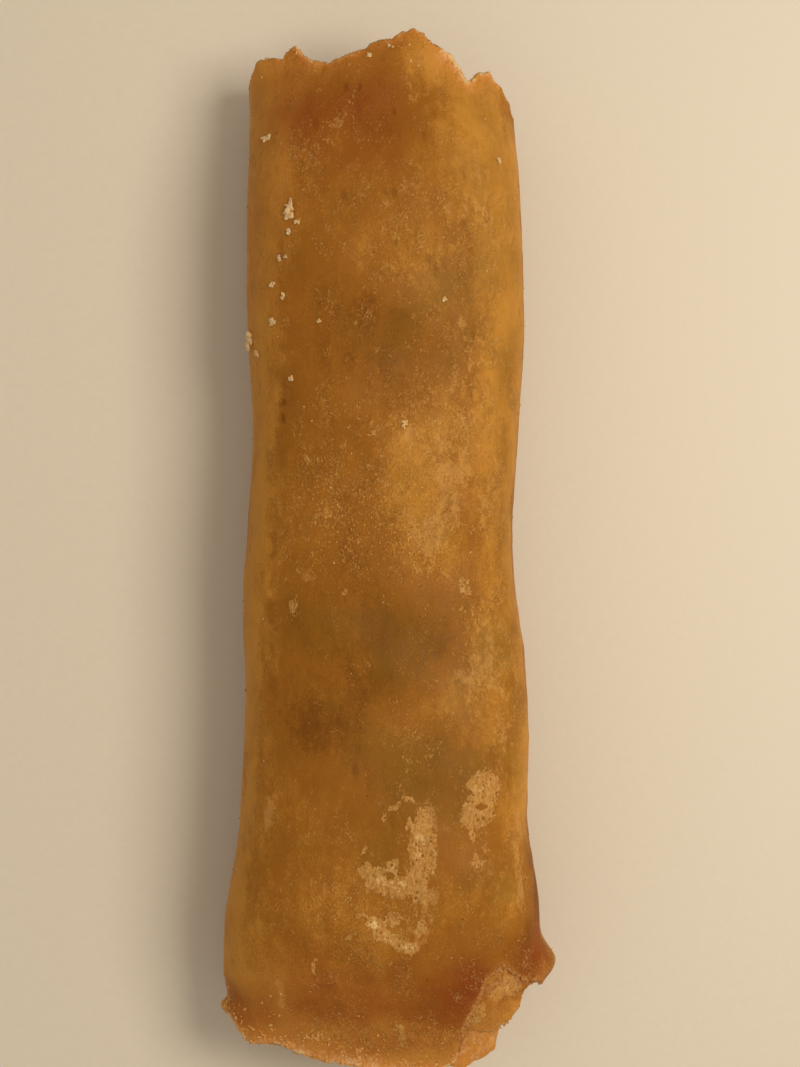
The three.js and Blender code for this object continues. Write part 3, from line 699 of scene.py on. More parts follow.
def with_ends(grid, first, last, fields):
    """A grid's points as one list with a point before and after them, its faces, and its fields."""
    points = np.concatenate([[first], grid.reshape(-1, 3), [last]])
    flat = {name: np.concatenate([[0], values.ravel(), [0]]) for name, values in fields.items()}
    return points, closed_faces(*grid.shape[:2]), flat


# ---- Fields over the skin ----


def patch_field(patches, across, y):
    """The sum of soft round patches given as [x, y, half-width, half-length, change]."""
    total = np.zeros_like(y)
    for x, middle, half_width, half_length, change in patches:
        beside = (across - across_of_x(x)) / half_width
        along = (y - middle) / half_length
        total += change * np.exp(-0.7 * (beside**2 + along**2))
    return total


def edged_field(patches, across, y):
    """The highest of tilted elliptical patches: strong in the middle, falling through 0 at the edge."""
    highest = np.full(y.shape, -1.0)
    for x, middle, half_width, half_length, tilt, strength in patches:
        turn = math.radians(tilt)
        right = across - across_of_x(x)
        up = y - middle
        beside = (right * math.cos(turn) + up * math.sin(turn)) / half_width
        along = (up * math.cos(turn) - right * math.sin(turn)) / half_length
        distance = np.sqrt(beside**2 + along**2)
        highest = np.maximum(highest, np.where(distance < 1, strength, 1) * (1 - distance))
    return np.clip(highest, -1, 1.2)


def wander(points, across, y, waves):
    """The places, moved by noise so that what lies there gets an odd outline."""
    for size, reach, seed in waves:
        across = across + reach * noise(points, size, seed)
        y = y + reach * noise(points, size, seed + 1)
    return across, y


def crease_depth(across, y):
    """How deep the skin is creased, as a share of the deepest crease."""
    total = np.zeros_like(y)
    broken = smoothstep(-0.1, 0.4, line_waves(y, CREASE_BREAKS))
    width = CREASE["narrow"] + CREASE["widening"] * broken
    for x, low, high, depth in CREASES:
        beside = across - across_of_x(x) - line_waves(y, CREASE_WANDER)
        fade = smoothstep(low, low + CREASE["fade"], y) * (1 - smoothstep(high - CREASE["fade"], high, y))
        total += depth * fade * broken * np.exp(-((beside / width) ** 2))
    return total


def dots(points, kind):
    """Small round dots, about half a spacing across, as a height from 0 to 1."""
    distance, own = cell_noise(points, kind["spacing"], kind["seed"])
    radius = mix(*DOT_RADII, own * 7.3 % 1)
    return np.where(own > DOT_GAPS, 1, 0) * np.clip(1 - (distance / radius) ** 2, 0, 1)


def pits_at(points, across):
    """How deep small hollows lie in the skin, from 0 to 1."""
    crowd = PIT_START + patch_field(PIT_PATCHES, across, points[..., 1])
    return dots(points * STREAKS, PITS) * np.clip(crowd, 0, 1)


def skin_fields(points, share, behind_lip, frost_patches):
    """Fields at points of the skin, which its material turns into colour and fine relief."""
    y = points[..., 1]
    across = across_at(share)
    streaky = points * STREAKS
    soft = wander(points, across, y, SOFT_BENDS)
    ragged = wander(points, across, y, RAGGED_BENDS)
    shape_x, shape_y = shape_at(share)
    blotches = varied(points, "blotches")
    side = smoothstep(SIDE_TONE_AND_LIGHT["from"], 1, np.abs(shape_x))
    under = smoothstep(*UNDER_FADE, shape_y + BLOTCHES["raggedness"] * blotches)
    limb = smoothstep(LIMB_SHADE["from"], 1, shape_x + varied(streaky, "limb"))

    tone = TONE_START + TONE_ACROSS * np.clip(across, -20, 20) + patch_field(TONE_PATCHES, *soft)
    tone += varied(streaky, "broad_tone") + varied(streaky, "fine_tone")
    # Paler sides with painted light, and a darker underside with painted shade, each partly the skin's own
    # colour.
    tone += SIDE_TONE_AND_LIGHT["change"] * side * mix(1, UNDER_SHARE["side"], under) + UNDER_TONE_AND_SHADE * under
    tone += BLOTCHES["strength"] * np.maximum(side, under) * blotches
    tone -= LIMB_SHADE["strength"] * limb * mix(1, UNDER_SHARE["limb"], under)
    # Painted shade along the creases.
    tone -= CREASE["tone"] * crease_depth(across, y)
    tone += BLISTERS["tone"] * dots(points, BLISTERS) - PITS["tone"] * pits_at(points, across)

    frost = edged_field(frost_patches, *ragged)
    holes = edged_field(FROST_HOLES, *wander(points, across, y, HOLE_BENDS))
    rim = RIM_START + patch_field(RIM_PATCHES, across, y)
    sparkle = SPARKLE_START + patch_field(SPARKLE_PATCHES, *soft) + varied(points, "sparkle")
    fields = {
        "scuff": SCUFF_START + patch_field(SCUFF_PATCHES, *soft) + varied(streaky, "scuff"),
        "film": FILM_START + patch_field(FILM_PATCHES, *ragged) + varied(streaky * STREAKS, "film"),
        "sparkle": np.maximum(sparkle, 0),
    }
    # More of each field on the sides and underneath, among them the sparkle, whose glints are painted.
    for name in fields:
        fields[name] += SIDE_EXTRA[name] * side + UNDER_EXTRA * under
    return {
        **fields,
        "tone": tone,
        "red": patch_field(RED_PATCHES, *soft) + varied(points, "red"),
        "frost": np.minimum(frost, 0.02 - holes),
        "rim": np.exp(-np.maximum(behind_lip, 0) / RIM_REACH) * rim,
    }


def skin_relief(points, share, frost_field):
    """How far the fried skin stands out from the rolled form."""
    across = across_at(share)
    relief = varied(points, "skin") + varied(points, "fine_skin") + varied(points, "finest_skin")
    distance, own = cell_noise(points, BUBBLES["spacing"], BUBBLES["seed"])
    bubbles = np.where(own > BUBBLES["least_draw"], BUBBLES["height"], 0)
    relief += bubbles * np.clip(1 - (distance / BUBBLES["radius"]) ** 2, 0, 1)
    relief += BLISTERS["height"] * dots(points, BLISTERS) - PITS["depth"] * pits_at(points, across)
    relief += smoothstep(-0.02, 0.12, frost_field) * (FROST_HEIGHT + varied(points, "frost"))
    return relief - CREASE["depth"] * crease_depth(across, points[..., 1])


# ---- The outer turn ----


def spread(low, high, spacing_at):
    """Places from low to high whose spacing follows a function of the place."""
    fine = np.linspace(low, high, 4001)
    passed = np.concatenate([[0], np.cumsum(np.diff(fine) / spacing_at((fine[1:] + fine[:-1]) / 2))])
    count = round(passed[-1])
    return np.interp(np.arange(count + 1) * passed[-1] / count, passed, fine)


def column_shares():
    """Shares of the way round, close over the top and at the seam, and wider apart underneath."""

    def spacing_at(share):
        under = smoothstep(*UNDER_FROM, share) * (1 - smoothstep(*UNDER_TO, share))
        seam = np.exp(-(((share - SEAM_AT) / SEAM_REACH) ** 2))
        return mix(mix(TOP_SPACING, UNDER_SPACING, under), SEAM_SPACING, seam) / PERIMETER

    return spread(0, 1, spacing_at)[:-1]


def row_places():
    """Where the rows of the outside would lie if they ran straight across."""

    def spacing_at(y):
        close = smoothstep(ROW_END - END_ZONE, ROW_END - END_ZONE / 2, np.abs(y))
        return mix(MID_ROW_SPACING, END_ROW_SPACING, close)

    return spread(-ROW_END, ROW_END, spacing_at)


def outer_edge(share, sign):
    """The outer turn's edge: its run with the coarse teeth, and the fine teeth apart."""
    run = lip_run(0, share, sign, 0)
    teeth = lip_run(0, share, sign, 1) - run + fine_teeth(0, share, sign)
    return run, teeth


def outside_y(share):
    """Y of the outside's rows, which follow the run of the lips from afar and their teeth from close by."""
    straight = row_places()[:, None]
    y = np.repeat(straight, len(share), axis=1)
    for sign in (-1, 1):
        run, teeth = outer_edge(share, sign)
        past = sign * straight
        y = y + smoothstep(ROW_END - RUN_BLEND, ROW_END, past) * (run - sign * ROW_END)
        y = y + smoothstep(ROW_END - TEETH_BLEND, ROW_END, past) * teeth
    return y


def turn_layer(turn, share, sign):
    """How deep a turn's outer face lies near its broken edge, and how thick it is there."""
    at = PERIMETER * share
    thickness = LIP_THICKNESS * (1 + line_waves(at, LIP_UNEVENNESS, turn))
    if turn == 0:
        return np.zeros_like(share), thickness
    torn = np.zeros_like(share)
    if sign < 0:
        from_side = np.mod(share + 0.5, 1) - 0.5
        torn = smoothstep(*TORN_FROM, from_side) * (1 - smoothstep(*TORN_TO, from_side))
    outer = turn * (WRAPPER + TURN_GAP) - TORN_LIFT[turn] * torn
    return outer + line_waves(at, GAP_WANDER, turn) * (1 - 0.8 * torn), thickness


def lip_rows(edge, outer, thickness, sign):
    """Rows over a broken edge, from the outer face round to the inner one, as (y, inset) pairs."""
    return [(edge + sign * ahead, outer + thickness * deep) for ahead, deep in LIP_PROFILE]


def outer_turn():
    """The outermost turn's points, faces and fields, and its points as a grid."""
    share = column_shares()
    rows = [(y, 0) for y in outside_y(share)]
    for sign in (-1, 1):
        edge = sum(outer_edge(share, sign))
        outer, thickness = turn_layer(0, share, sign)
        end = lip_rows(edge, outer, thickness, sign)
        end += [(edge - sign * depth, mix(thickness, WRAPPER, min(1, depth / 3))) for depth in INNER_WALL]
        rows = end[::-1] + rows if sign < 0 else rows + end
    y, inset, shares = row_grids(rows, share)
    curl = sum(curl_at(shares, y, sign) for sign in (-1, 1))
    grid = skin_points(shares, y, inset - curl)
    far_run, far_teeth = outer_edge(share, 1)
    near_run, near_teeth = outer_edge(share, -1)
    behind_run = np.minimum(far_run - y, y - near_run)
    behind_teeth = np.minimum(far_run + far_teeth - y, y - near_run - near_teeth)
    fields = skin_fields(grid, shares, behind_run, FROST_PATCHES)
    # Painted glow, strongest at the very edge of the teeth.
    fields["rim"] += EDGE_GLOW["strength"] * np.exp(-np.maximum(behind_teeth, 0) / EDGE_GLOW["reach"])
    outside = smoothstep(*OUTSIDE, inset)
    relief = outside * skin_relief(grid, shares, fields["frost"])
    relief += varied(grid, "lip") * np.exp(-np.maximum(behind_run, 0) / LIP_WRINKLE_REACH)
    grid = grid + grid_normals(grid) * relief[..., None]
    grid[..., 2] = np.maximum(grid[..., 2], 0)
    return *with_ends(grid, grid[0].mean(axis=0), grid[-1].mean(axis=0), fields), grid


# ---- The inner turns and the core ----


def inner_rows(share, sign):
    """Rows over the turns inside the outermost one and down to the core's rim, as (y, inset) pairs."""
    rows = []
    floor = lip_run(0, share, sign) - sign * HIDDEN_DEPTH
    for turn in range(1, TURN_COUNT):
        outer, thickness = turn_layer(turn, share, sign)
        inner = outer + thickness
        edge = lip_run(turn, share, sign) + fine_teeth(turn, share, sign)
        back = edge - sign * EDGE_ROUND
        count = FIRST_WALL_ROWS if turn == 1 else WALL_ROWS
        rows += [(mix(floor, back, k / count), outer) for k in range(count)]
        rows += lip_rows(edge, outer, thickness, sign)
        if turn + 1 < TURN_COUNT:
            nearer = np.minimum(sign * edge, sign * lip_run(turn + 1, share, sign))
            floor = sign * (nearer - VALLEY_DEPTH)
            rows += [(mix(back, floor, k / VALLEY_ROWS), inner) for k in range(1, VALLEY_ROWS + 1)]
    rim = lip_run(TURN_COUNT - 1, share, sign, 0) - sign * CORE_DEPTH
    return rows + [(mix(back, rim, k / CORE_WALL_ROWS), inner) for k in range(1, CORE_WALL_ROWS + 1)]


def inner_end(sign):
    """The turns inside the outermost one at one end and the tucked core, as one closed skin."""
    share = np.arange(END_COLUMNS) / END_COLUMNS
    looks = END_LOOKS[sign]
    y, inset, shares = row_grids(inner_rows(share, sign), share)
    walls = skin_points(shares, y, inset - curl_at(shares, y, sign))
    torn_place = wander(walls, across_at(shares), y, RAGGED_BENDS)
    torn = looks["torn"] * smoothstep(-0.2, 0.2, edged_field(INNER_FROST_PATCHES, *torn_place))
    bumpy = varied(walls, "inner") + torn * varied(walls, "torn")
    walls = walls + grid_normals(walls) * bumpy[..., None] * sign
    core, centre = core_rings(walls[-1], sign)
    grid = np.concatenate([walls, core])
    shares = np.repeat(share[None, :], len(grid), axis=0)
    behind = np.abs(lip_run(1, share, sign, 0) - grid[..., 1])
    fields = skin_fields(grid, shares, behind, INNER_FROST_PATCHES)
    outermost = looks["torn"] * OUTERMOST_CHANGE * smoothstep(*OUTERMOST_Y, grid[..., 1])
    ring = np.concatenate([np.zeros(len(walls)), np.linspace(0, 1, len(core))])
    fields["tone"] = looks["tone"] + varied(grid, "inner_tone") + outermost
    fields["tone"] -= CORE_SHADE * smoothstep(0, 0.5, ring)[:, None]
    fields["red"] = fields["red"] * 0.5 + 0.1
    # Painted glow over the whole of the inner turns, more towards the -Y end.
    fields["rim"] = np.maximum(fields["rim"], 0.15) + outermost
    fields["frost"] = np.where(looks["torn"], fields["frost"], -1)
    points, faces, flat = with_ends(grid, walls[0].mean(axis=0), centre, fields)
    return points, faces if sign > 0 else [face[::-1] for face in faces], flat


def core_rings(rim, sign):
    """Rings of the tucked-in core, drawn in from its rim to its centre and crumpled."""
    centre = rim.mean(axis=0)
    centre[1] += sign * CORE_DOME
    inwards = (np.arange(1, CORE_RINGS + 1) / (CORE_RINGS + 1))[:, None, None]
    rings = mix(rim[None], centre, inwards)
    flat = rings * np.array([1, 0, 1])
    fold = rings[..., 2] - centre[2] - FOLD_TILT * (rings[..., 0] - centre[0]) + varied(flat, "core_fold")
    flap = FOLD_STEP * smoothstep(-FOLD_WIDTH / 2, FOLD_WIDTH / 2, fold)
    crumple = CORE_PUFF - np.abs(varied(flat, "core_crease"))
    crumple += varied(flat, "core_lumps") + varied(rings, "core_grain")
    rise = np.sin(math.pi * np.minimum(1, inwards[..., 0] / CORE_RISE) / 2)
    rings[..., 1] += sign * (flap + crumple) * rise
    return rings, rings[-1].mean(axis=0)


# ---- Crumbs and grains ----


def ball(subdivisions):
    """Points and faces of an icosphere of radius 1."""
    made = bmesh.new()
    bmesh.ops.create_icosphere(made, subdivisions=subdivisions, radius=1)
    points = np.array([v.co for v in made.verts])
    faces = np.array([[v.index for v in f.verts] for f in made.faces])
    made.free()
    return points, faces


def standing_on(normal, turn):
    """Three axes with the last along a normal and the first turned about it."""
    beside = np.cross([0.0, 1.0, 0.0], normal)
    beside /= np.linalg.norm(beside)
    along = np.cross(normal, beside)
    first = math.cos(turn) * beside + math.sin(turn) * along
    return np.stack([first, np.cross(normal, first), normal])


def chip(points, seed):
    """A ball's points, cut flat by planes at random, as a crumb breaks."""
    random = np.random.default_rng(seed)
    normals = random.normal(size=(CUTS["count"], 3))
    normals /= np.linalg.norm(normals, axis=1, keepdims=True)
    out = random.uniform(CUTS["low"], CUTS["high"], CUTS["count"])
    facing = np.maximum(points @ normals.T, 1e-3)
    return points * np.minimum((out / facing).min(axis=1), 1)[:, None]


def joined_bits(bits):
    """One mesh from many chips, each (template, centre, three half sizes, axes, roughness, seed)."""
    all_points = []
    all_faces = []
    passed = 0
    for (points, faces), centre, sizes, axes, roughness, seed in bits:
        lump = chip(points, seed) * (1 + roughness * fractal(points + 31.7 * seed, 1.1, 111, 3, 0.6)[:, None])
        all_points.append((lump * sizes) @ axes + centre)
        all_faces.append(faces + passed)
        passed += len(points)
    return np.concatenate(all_points), np.concatenate(all_faces).tolist()


def drawn_bit(random, kind, number, template, centre, normal=(0, 0, 1)):
    """A bit of one kind, with its sizes and its turn drawn at random."""
    sizes = random.uniform(kind["low"], kind["high"], 3) * kind["shape"]
    turn = kind["swing"] * random.normal() if "swing" in kind else random.uniform(0, TURN)
    axes = standing_on(np.array(normal), turn)
    return template, centre, sizes, axes, kind["roughness"], kind["seed"] + number


def crumb_bits(grid, normals):
    """The named crumbs, and tiny ones strewn over the upper skin."""
    random = np.random.default_rng(CRUMB_SEED)
    upper = normals[..., 2] > CRUMB_UP
    points = grid[upper]
    directions = normals[upper]
    big = ball(3)
    small = ball(2)
    bits = []
    for number, (x, y, half_width, half_length, half_height, turn) in enumerate(CRUMBS):
        k = np.argmin((points[:, 0] - x) ** 2 + (points[:, 1] - y) ** 2)
        axes = standing_on(directions[k], math.radians(turn))
        centre = points[k] + directions[k] * CRUMB_LIFT * half_height
        sizes = CRUMB_SCALE * np.array([half_width, half_length, half_height])
        for beside in range(CRUMB_CHIPS["count"]):
            angle = random.uniform(0, TURN)
            direction = np.array([math.cos(angle), math.sin(angle), CHIP_SPREAD["flatness"]])
            aside = random.uniform(CHIP_SPREAD["low"], CHIP_SPREAD["high"]) * sizes * direction
            chip_axes = standing_on(directions[k], random.uniform(0, TURN))
            shares = random.uniform(CRUMB_CHIPS["low"], CRUMB_CHIPS["high"], 3)
            chip_sizes = sizes.mean() * shares * CRUMB_CHIPS["shape"]
            seed = 20 * beside + number
            bits.append((big, centre + aside @ axes, chip_sizes, chip_axes, CRUMB_CHIPS["roughness"], seed))
    for number in range(TINY_CRUMBS["count"]):
        k = random.integers(len(points))
        bits.append(drawn_bit(random, TINY_CRUMBS, number, small, points[k], directions[k]))
    return bits


def grain_bits(grid, normals):
    """Bright grains of burst batter along the lips, most of them at the -Y end."""
    random = np.random.default_rng(CRUMB_SEED + 1)
    template = ball(1)
    y = grid[..., 1]
    behind = np.maximum(y - sum(outer_edge(column_shares(), -1)), 0)
    near = np.exp(-behind / GRAIN_PLACES["reach"]) * smoothstep(*GRAIN_PLACES["up"], normals[..., 2])
    near *= smoothstep(*GRAIN_PLACES["x"], grid[..., 0]) * (y < 0)
    far = GRAIN_SHARES["far"] * smoothstep(*GRAIN_PLACES["far_y"], y) * (normals[..., 2] > 0)
    weights = (near + far) * (GRAIN_SHARES["least"] + np.clip(varied(grid, "grain_crowd"), 0, 1) ** 2)
    weights[-1] = 0
    picks = random.choice(weights.size, RIM_GRAINS["count"], p=(weights / weights.sum()).ravel())
    row, column = np.divmod(picks, grid.shape[1])
    across, along = random.uniform(0, 1, (2, len(picks), 1))
    after = (column + 1) % grid.shape[1]
    low = mix(grid[row, column], grid[row, after], across)
    high = mix(grid[row + 1, column], grid[row + 1, after], across)
    centres = enumerate(zip(mix(low, high, along), normals[row, column]))
    return [drawn_bit(random, RIM_GRAINS, number, template, *place) for number, place in centres]


def torn_bits():
    """Crumbly grains along the torn edges at the -Y corner, that slope down to the turn inside."""
    random = np.random.default_rng(CRUMB_SEED + 3)
    template = ball(2)
    side = USUAL_HALF_WIDTH / NEAR_LIPS[0][-1][0]
    bits = []
    for turn, grains in enumerate(TORN_GRAINS):
        count = grains["count"]
        x = random.uniform(grains["from_x"], grains["to_x"], count)
        share = 0.25 - across_of_x(x * side) / PERIMETER
        past = random.uniform(0, 1, count) ** 2
        y = lip_run(turn, share, -1) - grains["reach"] * past + TORN_PLACES["ahead"]
        above = turn_layer(turn, share, -1)[0]
        below = turn_layer(turn + 1, share, -1)[0]
        inset = mix(above, below, np.minimum(1, TORN_PLACES["steepness"] * past)) - curl_at(share, y, -1)
        kind = grains | TORN_SHAPE
        for number, centre in enumerate(skin_points(share, y, inset + TORN_PLACES["inset"])):
            bits.append(drawn_bit(random, kind, number, template, centre, TORN_PLACES["normal"]))
    return bits


def splinter_bits():
    """Small splinters that stick to the broken edges of the turns at both ends, and flakes on the sides."""
    random = np.random.default_rng(CRUMB_SEED + 2)
    template = ball(1)
    bits = []
    for sign, (turn, count) in itertools.product((-1, 1), enumerate(SPLINTER_COUNTS)):
        share = random.uniform(0, 1, count)
        share = np.where(random.uniform(0, 1, count) < SPLINTER_PLACES["upper"], share / 2, share)
        outer, thickness = turn_layer(turn, share, sign)
        edge = lip_run(turn, share, sign) + fine_teeth(turn, share, sign)
        inset = outer + thickness * random.uniform(0, 1, count) - curl_at(share, edge, sign)
        y = edge + sign * random.uniform(-SPLINTER_PLACES["behind"], SPLINTER_PLACES["ahead"], count)
        for number, centre in enumerate(skin_points(share, y, inset), 1000 * turn):
            bits.append(drawn_bit(random, SPLINTERS, number, template, centre))
    count = FLAKE_PLACES["count"]
    behind = FLAKE_PLACES["behind"]
    side = np.where(random.uniform(0, 1, count) < 0.5, 0.5, 0)
    share = side + FLAKE_PLACES["spread"] * random.normal(size=count)
    y = random.uniform(-ROW_END, ROW_END, count)
    y = np.clip(y, lip_run(0, share, -1) + behind, lip_run(0, share, 1) - behind)
    for number, centre in enumerate(skin_points(share, y, 0)):
        bits.append(drawn_bit(random, SIDE_FLAKES, number, template, centre))
    return bits


# ---- Materials ----


class Graph:
    """A material's node tree, with short calls that each add a node and return its output."""

    def __init__(self, name):
        self.material = bpy.data.materials.new(name)
        self.material.use_nodes = True
        self.tree = self.material.node_tree
        self.tree.nodes.clear()
        self.place = self.tree.nodes.new("ShaderNodeTexCoord").outputs["Object"]

    def add(self, kind, inputs, **settings):
        made = self.tree.nodes.new(kind)
        for name, value in settings.items():
            setattr(made, name, value)
        for name, value in inputs.items():
            if isinstance(value, bpy.types.NodeSocket):
                self.tree.links.new(value, made.inputs[name])
            else:
                made.inputs[name].default_value = value
        return made

    def math(self, operation, a, b=0.0):
        return self.add("ShaderNodeMath", {0: a, 1: b}, operation=operation).outputs[0]

    def plus(self, *values):
        return functools.reduce(functools.partial(self.math, "ADD"), values)

    def times(self, *values):
        return functools.reduce(functools.partial(self.math, "MULTIPLY"), values)

    def field(self, name):
        return self.add("ShaderNodeAttribute", {}, attribute_name=name).outputs["Fac"]

    def step(self, low, high, value):
        """A smooth rise from 0 at low to 1 at high."""
        inputs = {"Value": value, "From Min": low, "From Max": high}
        return self.add("ShaderNodeMapRange", inputs, interpolation_type="SMOOTHSTEP").outputs[0]

    def noise(self, size, detail=2.0, roughness=0.5, distortion=0.0, stretch=(1, 1, 1), offset=0.0):
        """Noise around 0, from about -0.5 to 0.5, with features of this size in millimetres."""
        moved = {"Vector": self.place, "Scale": stretch, "Location": (offset, offset, offset)}
        inputs = {
            "Vector": self.add("ShaderNodeMapping", moved).outputs[0],
            "Scale": 1 / (size * MM),
            "Detail": detail,
            "Roughness": roughness,
            "Distortion": distortion,
        }
        return self.math("SUBTRACT", self.add("ShaderNodeTexNoise", inputs).outputs["Fac"], 0.5)

    def bent_cells(self, size, reach, stretch):
        """Voronoi cells bent by noise, in millimetres: distance in sizes, and two draws for each cell."""
        inputs = {"Vector": self.place, "Scale": 1 / (size * MM), "Detail": 1.0}
        middle = {0: self.add("ShaderNodeTexNoise", inputs).outputs["Color"], 1: (0.5, 0.5, 0.5)}
        centred = self.add("ShaderNodeVectorMath", middle, operation="SUBTRACT")
        scaled = {0: centred.outputs[0], "Scale": reach * MM}
        moved = self.add("ShaderNodeVectorMath", scaled, operation="SCALE")
        bent = self.add("ShaderNodeVectorMath", {0: self.place, 1: moved.outputs[0]}, operation="ADD")
        place = self.add("ShaderNodeMapping", {"Vector": bent.outputs[0], "Scale": stretch}).outputs[0]
        made = self.add("ShaderNodeTexVoronoi", {"Vector": place, "Scale": 1 / (size * MM)})
        draws_of = self.add("ShaderNodeSeparateColor", {"Color": made.outputs["Color"]})
        return made.outputs["Distance"], draws_of.outputs[0], draws_of.outputs[1]

    def colour(self, share, a, b):
        """A mix of two colours, whose sockets the mix node keeps at these places."""
        return self.add("ShaderNodeMix", {0: share, 6: a, 7: b}, data_type="RGBA").outputs[2]

    def coat(self, base, colour, *shares):
        """A colour over another one, as strong as the product of the shares."""
        return self.colour(self.times(*shares), base, linear(colour))

    def finish(self, colour, roughness, height, settings):
        """The surface from its colour, roughness and height in millimetres."""
        bump = self.add("ShaderNodeBump", {"Height": height, "Distance": MM, "Strength": 1.0})
        inputs = {"Base Color": colour, "Roughness": roughness, "Normal": bump.outputs[0], **settings}
        shader = self.add("ShaderNodeBsdfPrincipled", inputs)
        self.add("ShaderNodeOutputMaterial", {"Surface": shader.outputs[0]})
        return self.material


def fried_skin(name, glow=0.0):
    """Fried wrapper: browned by its fields, with fine scuffs and their painted shade, painted glints, pores,
    frosty patches with painted highlights, and painted glow at its rims.
    """
    g = Graph(name)
    sparkle = g.field("sparkle")
    mottle = g.noise(**MOTTLE)
    curls = g.noise(**CURLS, offset=0.31)
    grit = g.noise(**GRIT, offset=0.57)
    spot, spot_draw, spot_size = g.bent_cells(**SPOTS)

    tone = g.plus(g.field("tone"), g.times(mottle, 0.36), g.times(grit, g.plus(0.42, g.times(sparkle, 0.6))))
    skin = g.coat(linear(DARK_BROWN), MID_BROWN, g.step(0, 0.5, tone))
    skin = g.coat(skin, PALE_GOLD, g.step(0.5, 1.05, tone))
    red = g.plus(g.field("red"), g.times(mottle, 0.15))
    skin = g.coat(skin, RED_BROWN, g.step(0.02, 0.6, red), 0.9)
    skin = g.coat(skin, OLIVE, g.step(-0.02, -0.3, red), 0.8)

    # A thin pale film in streaks, curly scuffs with painted shade along one side, and the finest painted
    # glints and pores.
    lacy = g.plus(g.times(g.field("scuff"), 0.45), g.times(mottle, 1.5), g.times(grit, 0.9))
    film = g.step(0.3, 0.72, g.plus(g.times(g.field("film"), 0.8), lacy))
    skin = g.coat(skin, FILM, film, 0.52)
    crowd = g.step(0.05, 0.4, g.plus(g.field("scuff"), g.times(mottle, 1.4), g.times(grit, 1.2)))
    scuff = g.times(g.step(0.05, 0, g.math("ABSOLUTE", curls)), crowd, g.step(-0.12, 0.1, grit))
    shade = g.times(g.step(0.05, 0, g.math("ABSOLUTE", g.plus(curls, 0.075))), crowd)
    skin = g.coat(skin, DARK_BROWN, shade, 0.36)
    skin = g.coat(skin, FROST, scuff, 0.68)
    glint = g.step(0.26, 0.34, g.plus(grit, g.times(sparkle, 0.12), g.times(crowd, 0.03)))
    skin = g.coat(skin, PAINTED_GLINT, glint, 0.9)
    pore = g.step(0.23, 0.34, g.plus(g.times(grit, -1), g.times(sparkle, 0.12)))
    skin = g.coat(skin, DARK_SPECK, pore, 0.5)

    # Frosty patches: a thin pale film, foamy and pitted, with painted highlights on its foam that are
    # brightest at its edge and where it is thick.
    frost_edge = g.plus(g.times(g.field("frost"), 1.8), g.times(mottle, 0.5), g.times(grit, 0.45))
    frost = g.step(0, 0.12, frost_edge)
    thick = g.step(0.12, 0.62, g.plus(g.field("frost"), g.times(mottle, 0.7), g.times(grit, 0.2)))
    foam = g.plus(grit, g.times(mottle, 0.35), g.times(g.plus(spot, -0.42), 0.5), g.times(thick, 0.08))
    frosty = g.coat(linear(FROST_FILM), FROST, g.step(-0.22, 0.26, foam))
    lit = g.plus(0.12, g.times(g.step(0.25, 0.05, frost_edge), 0.3), g.times(thick, 0.7))
    frosty = g.coat(frosty, FROST_PAINTED_HIGHLIGHT, g.step(0.06, 0.3, foam), lit)
    frosty = g.coat(frosty, PIT, g.step(-0.08, -0.28, foam), g.plus(0.35, g.times(thick, 0.5)))
    skin = g.colour(g.times(frost, g.plus(0.7, g.times(thick, 0.25))), skin, frosty)

    # Dark specks, few on the skin and more in the frost.
    radius = g.plus(0.06, g.times(spot_size, 0.14), g.times(frost, g.plus(0.02, g.times(spot_size, 0.2))))
    inside = g.step(0, 0.08, g.plus(radius, g.times(grit, 0.25), g.times(spot, -1)))
    dark = g.times(inside, g.step(0, 0.05, g.plus(spot_draw, g.times(frost, 0.25), -0.88)))
    skin = g.colour(g.times(dark, 0.75), skin, g.coat(linear(DARK_SPECK), PIT, frost))

    # The thin broken rims let more light through: painted into their colour as a glow and a pale fringe.
    rim = g.times(g.field("rim"), g.plus(0.85, glow, g.times(mottle, 2.8), g.times(grit, 1.8)))
    skin = g.coat(skin, RIM_GLOW, g.math("MINIMUM", rim, 1.0))
    skin = g.coat(skin, PAINTED_FRINGE_GLOW, g.step(0.4, 1.8, rim), 0.75)

    roughness = g.plus(0.52, g.times(frost, 0.15), g.times(mottle, 0.3), g.times(glint, -0.2))
    grainy = g.plus(0.03, g.times(sparkle, 0.11), g.times(frost, 0.05))
    heights = [(mottle, 0.08), (scuff, 0.05), (shade, -0.03), (grit, grainy), (frost, 0.03), (dark, -0.06)]
    height = g.plus(*(g.times(*part) for part in heights))
    return g.finish(skin, roughness, height, {**SKIN_DEPTH, "Specular IOR Level": 0.12})


def crumb_skin(name, colour, darker):
    """Dry crumbs: pale, finely rough and slightly clear."""
    g = Graph(name)
    mottle = g.noise(0.5, 3.0, 0.6)
    tint = g.coat(linear(darker), colour, g.step(-0.15, 0.2, mottle))
    roughness = g.plus(0.5, g.times(mottle, 0.3))
    return g.finish(tint, roughness, g.times(mottle, 0.12), {**CRUMB_DEPTH, "Specular IOR Level": 0.12})


# ---- Stage ----


def add_floor():
    bpy.ops.mesh.primitive_plane_add(size=FLOOR_SIZE, location=(0, 0, 0))
    floor = bpy.context.object
    floor.name = "floor"
    g = Graph("floor_paint")
    fine = g.noise(1.2, 3.0, 0.6)
    paint = g.coat(linear(FLOOR), [c + 3 for c in FLOOR], g.step(-0.3, 0.3, fine))
    floor.data.materials.append(g.finish(paint, g.plus(0.55, g.times(fine, 0.2)), g.times(fine, 0.02), {}))


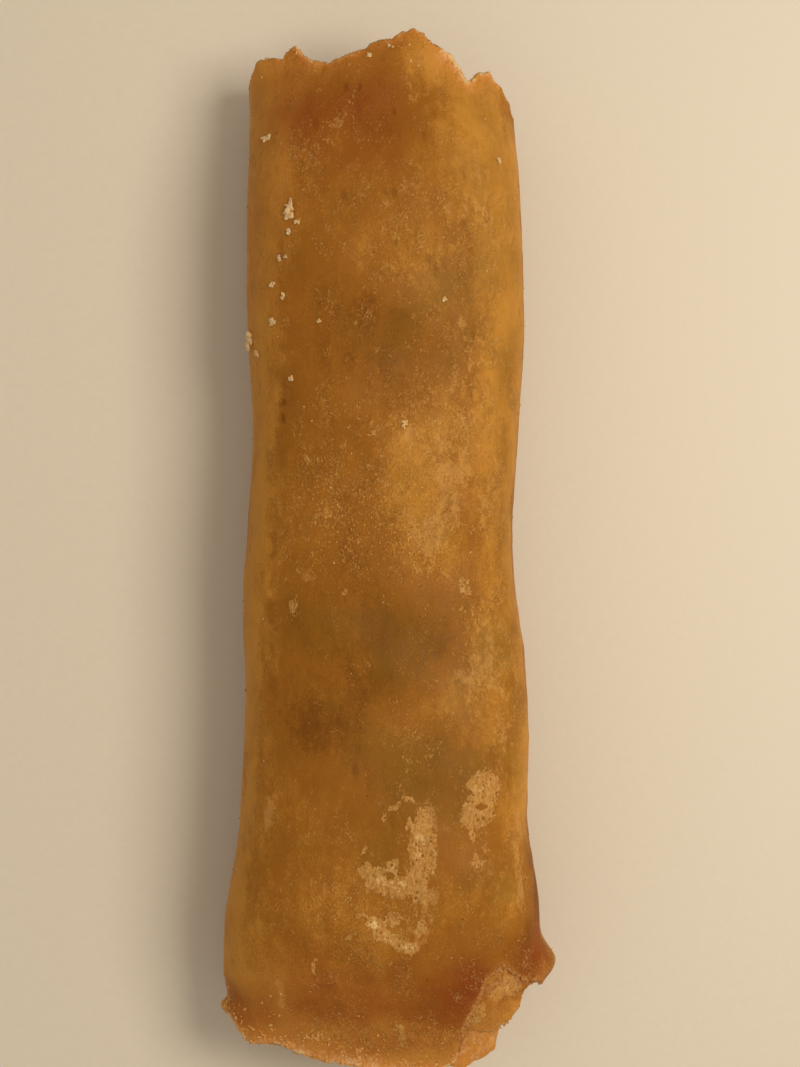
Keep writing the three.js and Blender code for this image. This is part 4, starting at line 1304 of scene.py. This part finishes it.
def add_stage():
    """The floor, one soft light that points at the roll's middle, the room's light and the camera."""
    add_floor()
    scene = bpy.context.scene
    lamp = bpy.data.lights.new("key", "AREA")
    lamp.shape = "SQUARE"
    lamp.size = KEY_LIGHT["size"]
    lamp.energy = KEY_LIGHT["power"]
    lamp.color = KEY_LIGHT["colour"]
    light = bpy.data.objects.new("key", lamp)
    scene.collection.objects.link(light)
    light.location = KEY_LIGHT["at"]
    light.rotation_euler = (-light.location).to_track_quat("-Z", "Y").to_euler()

    world = bpy.data.worlds.new("room")
    world.use_nodes = True
    background = world.node_tree.nodes["Background"]
    background.inputs["Color"].default_value = ROOM_LIGHT["colour"]
    background.inputs["Strength"].default_value = ROOM_LIGHT["strength"]
    scene.world = world
    scene.view_settings.view_transform = "Standard"
    scene.view_settings.look = "None"

    camera = bpy.data.cameras.new("camera")
    camera.lens = FOCAL_LENGTH
    camera.sensor_fit = "VERTICAL"
    camera.sensor_height = SENSOR_HEIGHT
    camera.clip_start = 0.01
    camera.clip_end = 10
    holder = bpy.data.objects.new("camera", camera)
    scene.collection.objects.link(holder)
    x, y, height = CAMERA_AT
    holder.location = ((x + FRAME_SHIFT[0]) * MM, (y + FRAME_SHIFT[1]) * MM, height * MM)
    scene.camera = holder


# ---- The whole scene ----


def add_roll():
    *parts, grid = outer_turn()
    outer = add_piece("wrapper_outer_turn", *parts, fried_skin("fried_skin"))
    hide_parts("roll")
    # The inner turns' skin has more painted glow at its rims.
    inner_skin = fried_skin("inner_skin", 0.1)
    for name, sign in (("inner_turns_far", 1), ("inner_turns_near", -1)):
        add_piece(name, *inner_end(sign), inner_skin)
    normals = grid_normals(grid)
    for name, skin, bits, colour, darker in (
        ("crumbs", "crumb_skin", crumb_bits(grid, normals), CRUMB_WHITE, GRAIN_GOLD),
        ("rim_grains", "grain_skin", grain_bits(grid, normals), GRAIN_GOLD, RIM_GLOW),
        ("torn_edge_grains", "torn_skin", torn_bits(), TORN_TAN, TORN_BROWN),
        ("splinters", "splinter_skin", splinter_bits(), SPLINTER_GOLD, SPLINTER_BROWN),
    ):
        add_piece(name, *joined_bits(bits), {}, crumb_skin(skin, colour, darker), smooth=False)


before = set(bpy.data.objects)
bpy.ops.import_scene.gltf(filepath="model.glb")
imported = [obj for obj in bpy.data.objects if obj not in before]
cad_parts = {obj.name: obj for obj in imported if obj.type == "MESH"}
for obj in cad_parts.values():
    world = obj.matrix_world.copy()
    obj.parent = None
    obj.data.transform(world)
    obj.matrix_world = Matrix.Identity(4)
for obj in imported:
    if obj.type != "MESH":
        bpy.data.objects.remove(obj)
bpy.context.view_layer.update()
add_stage()
add_roll()
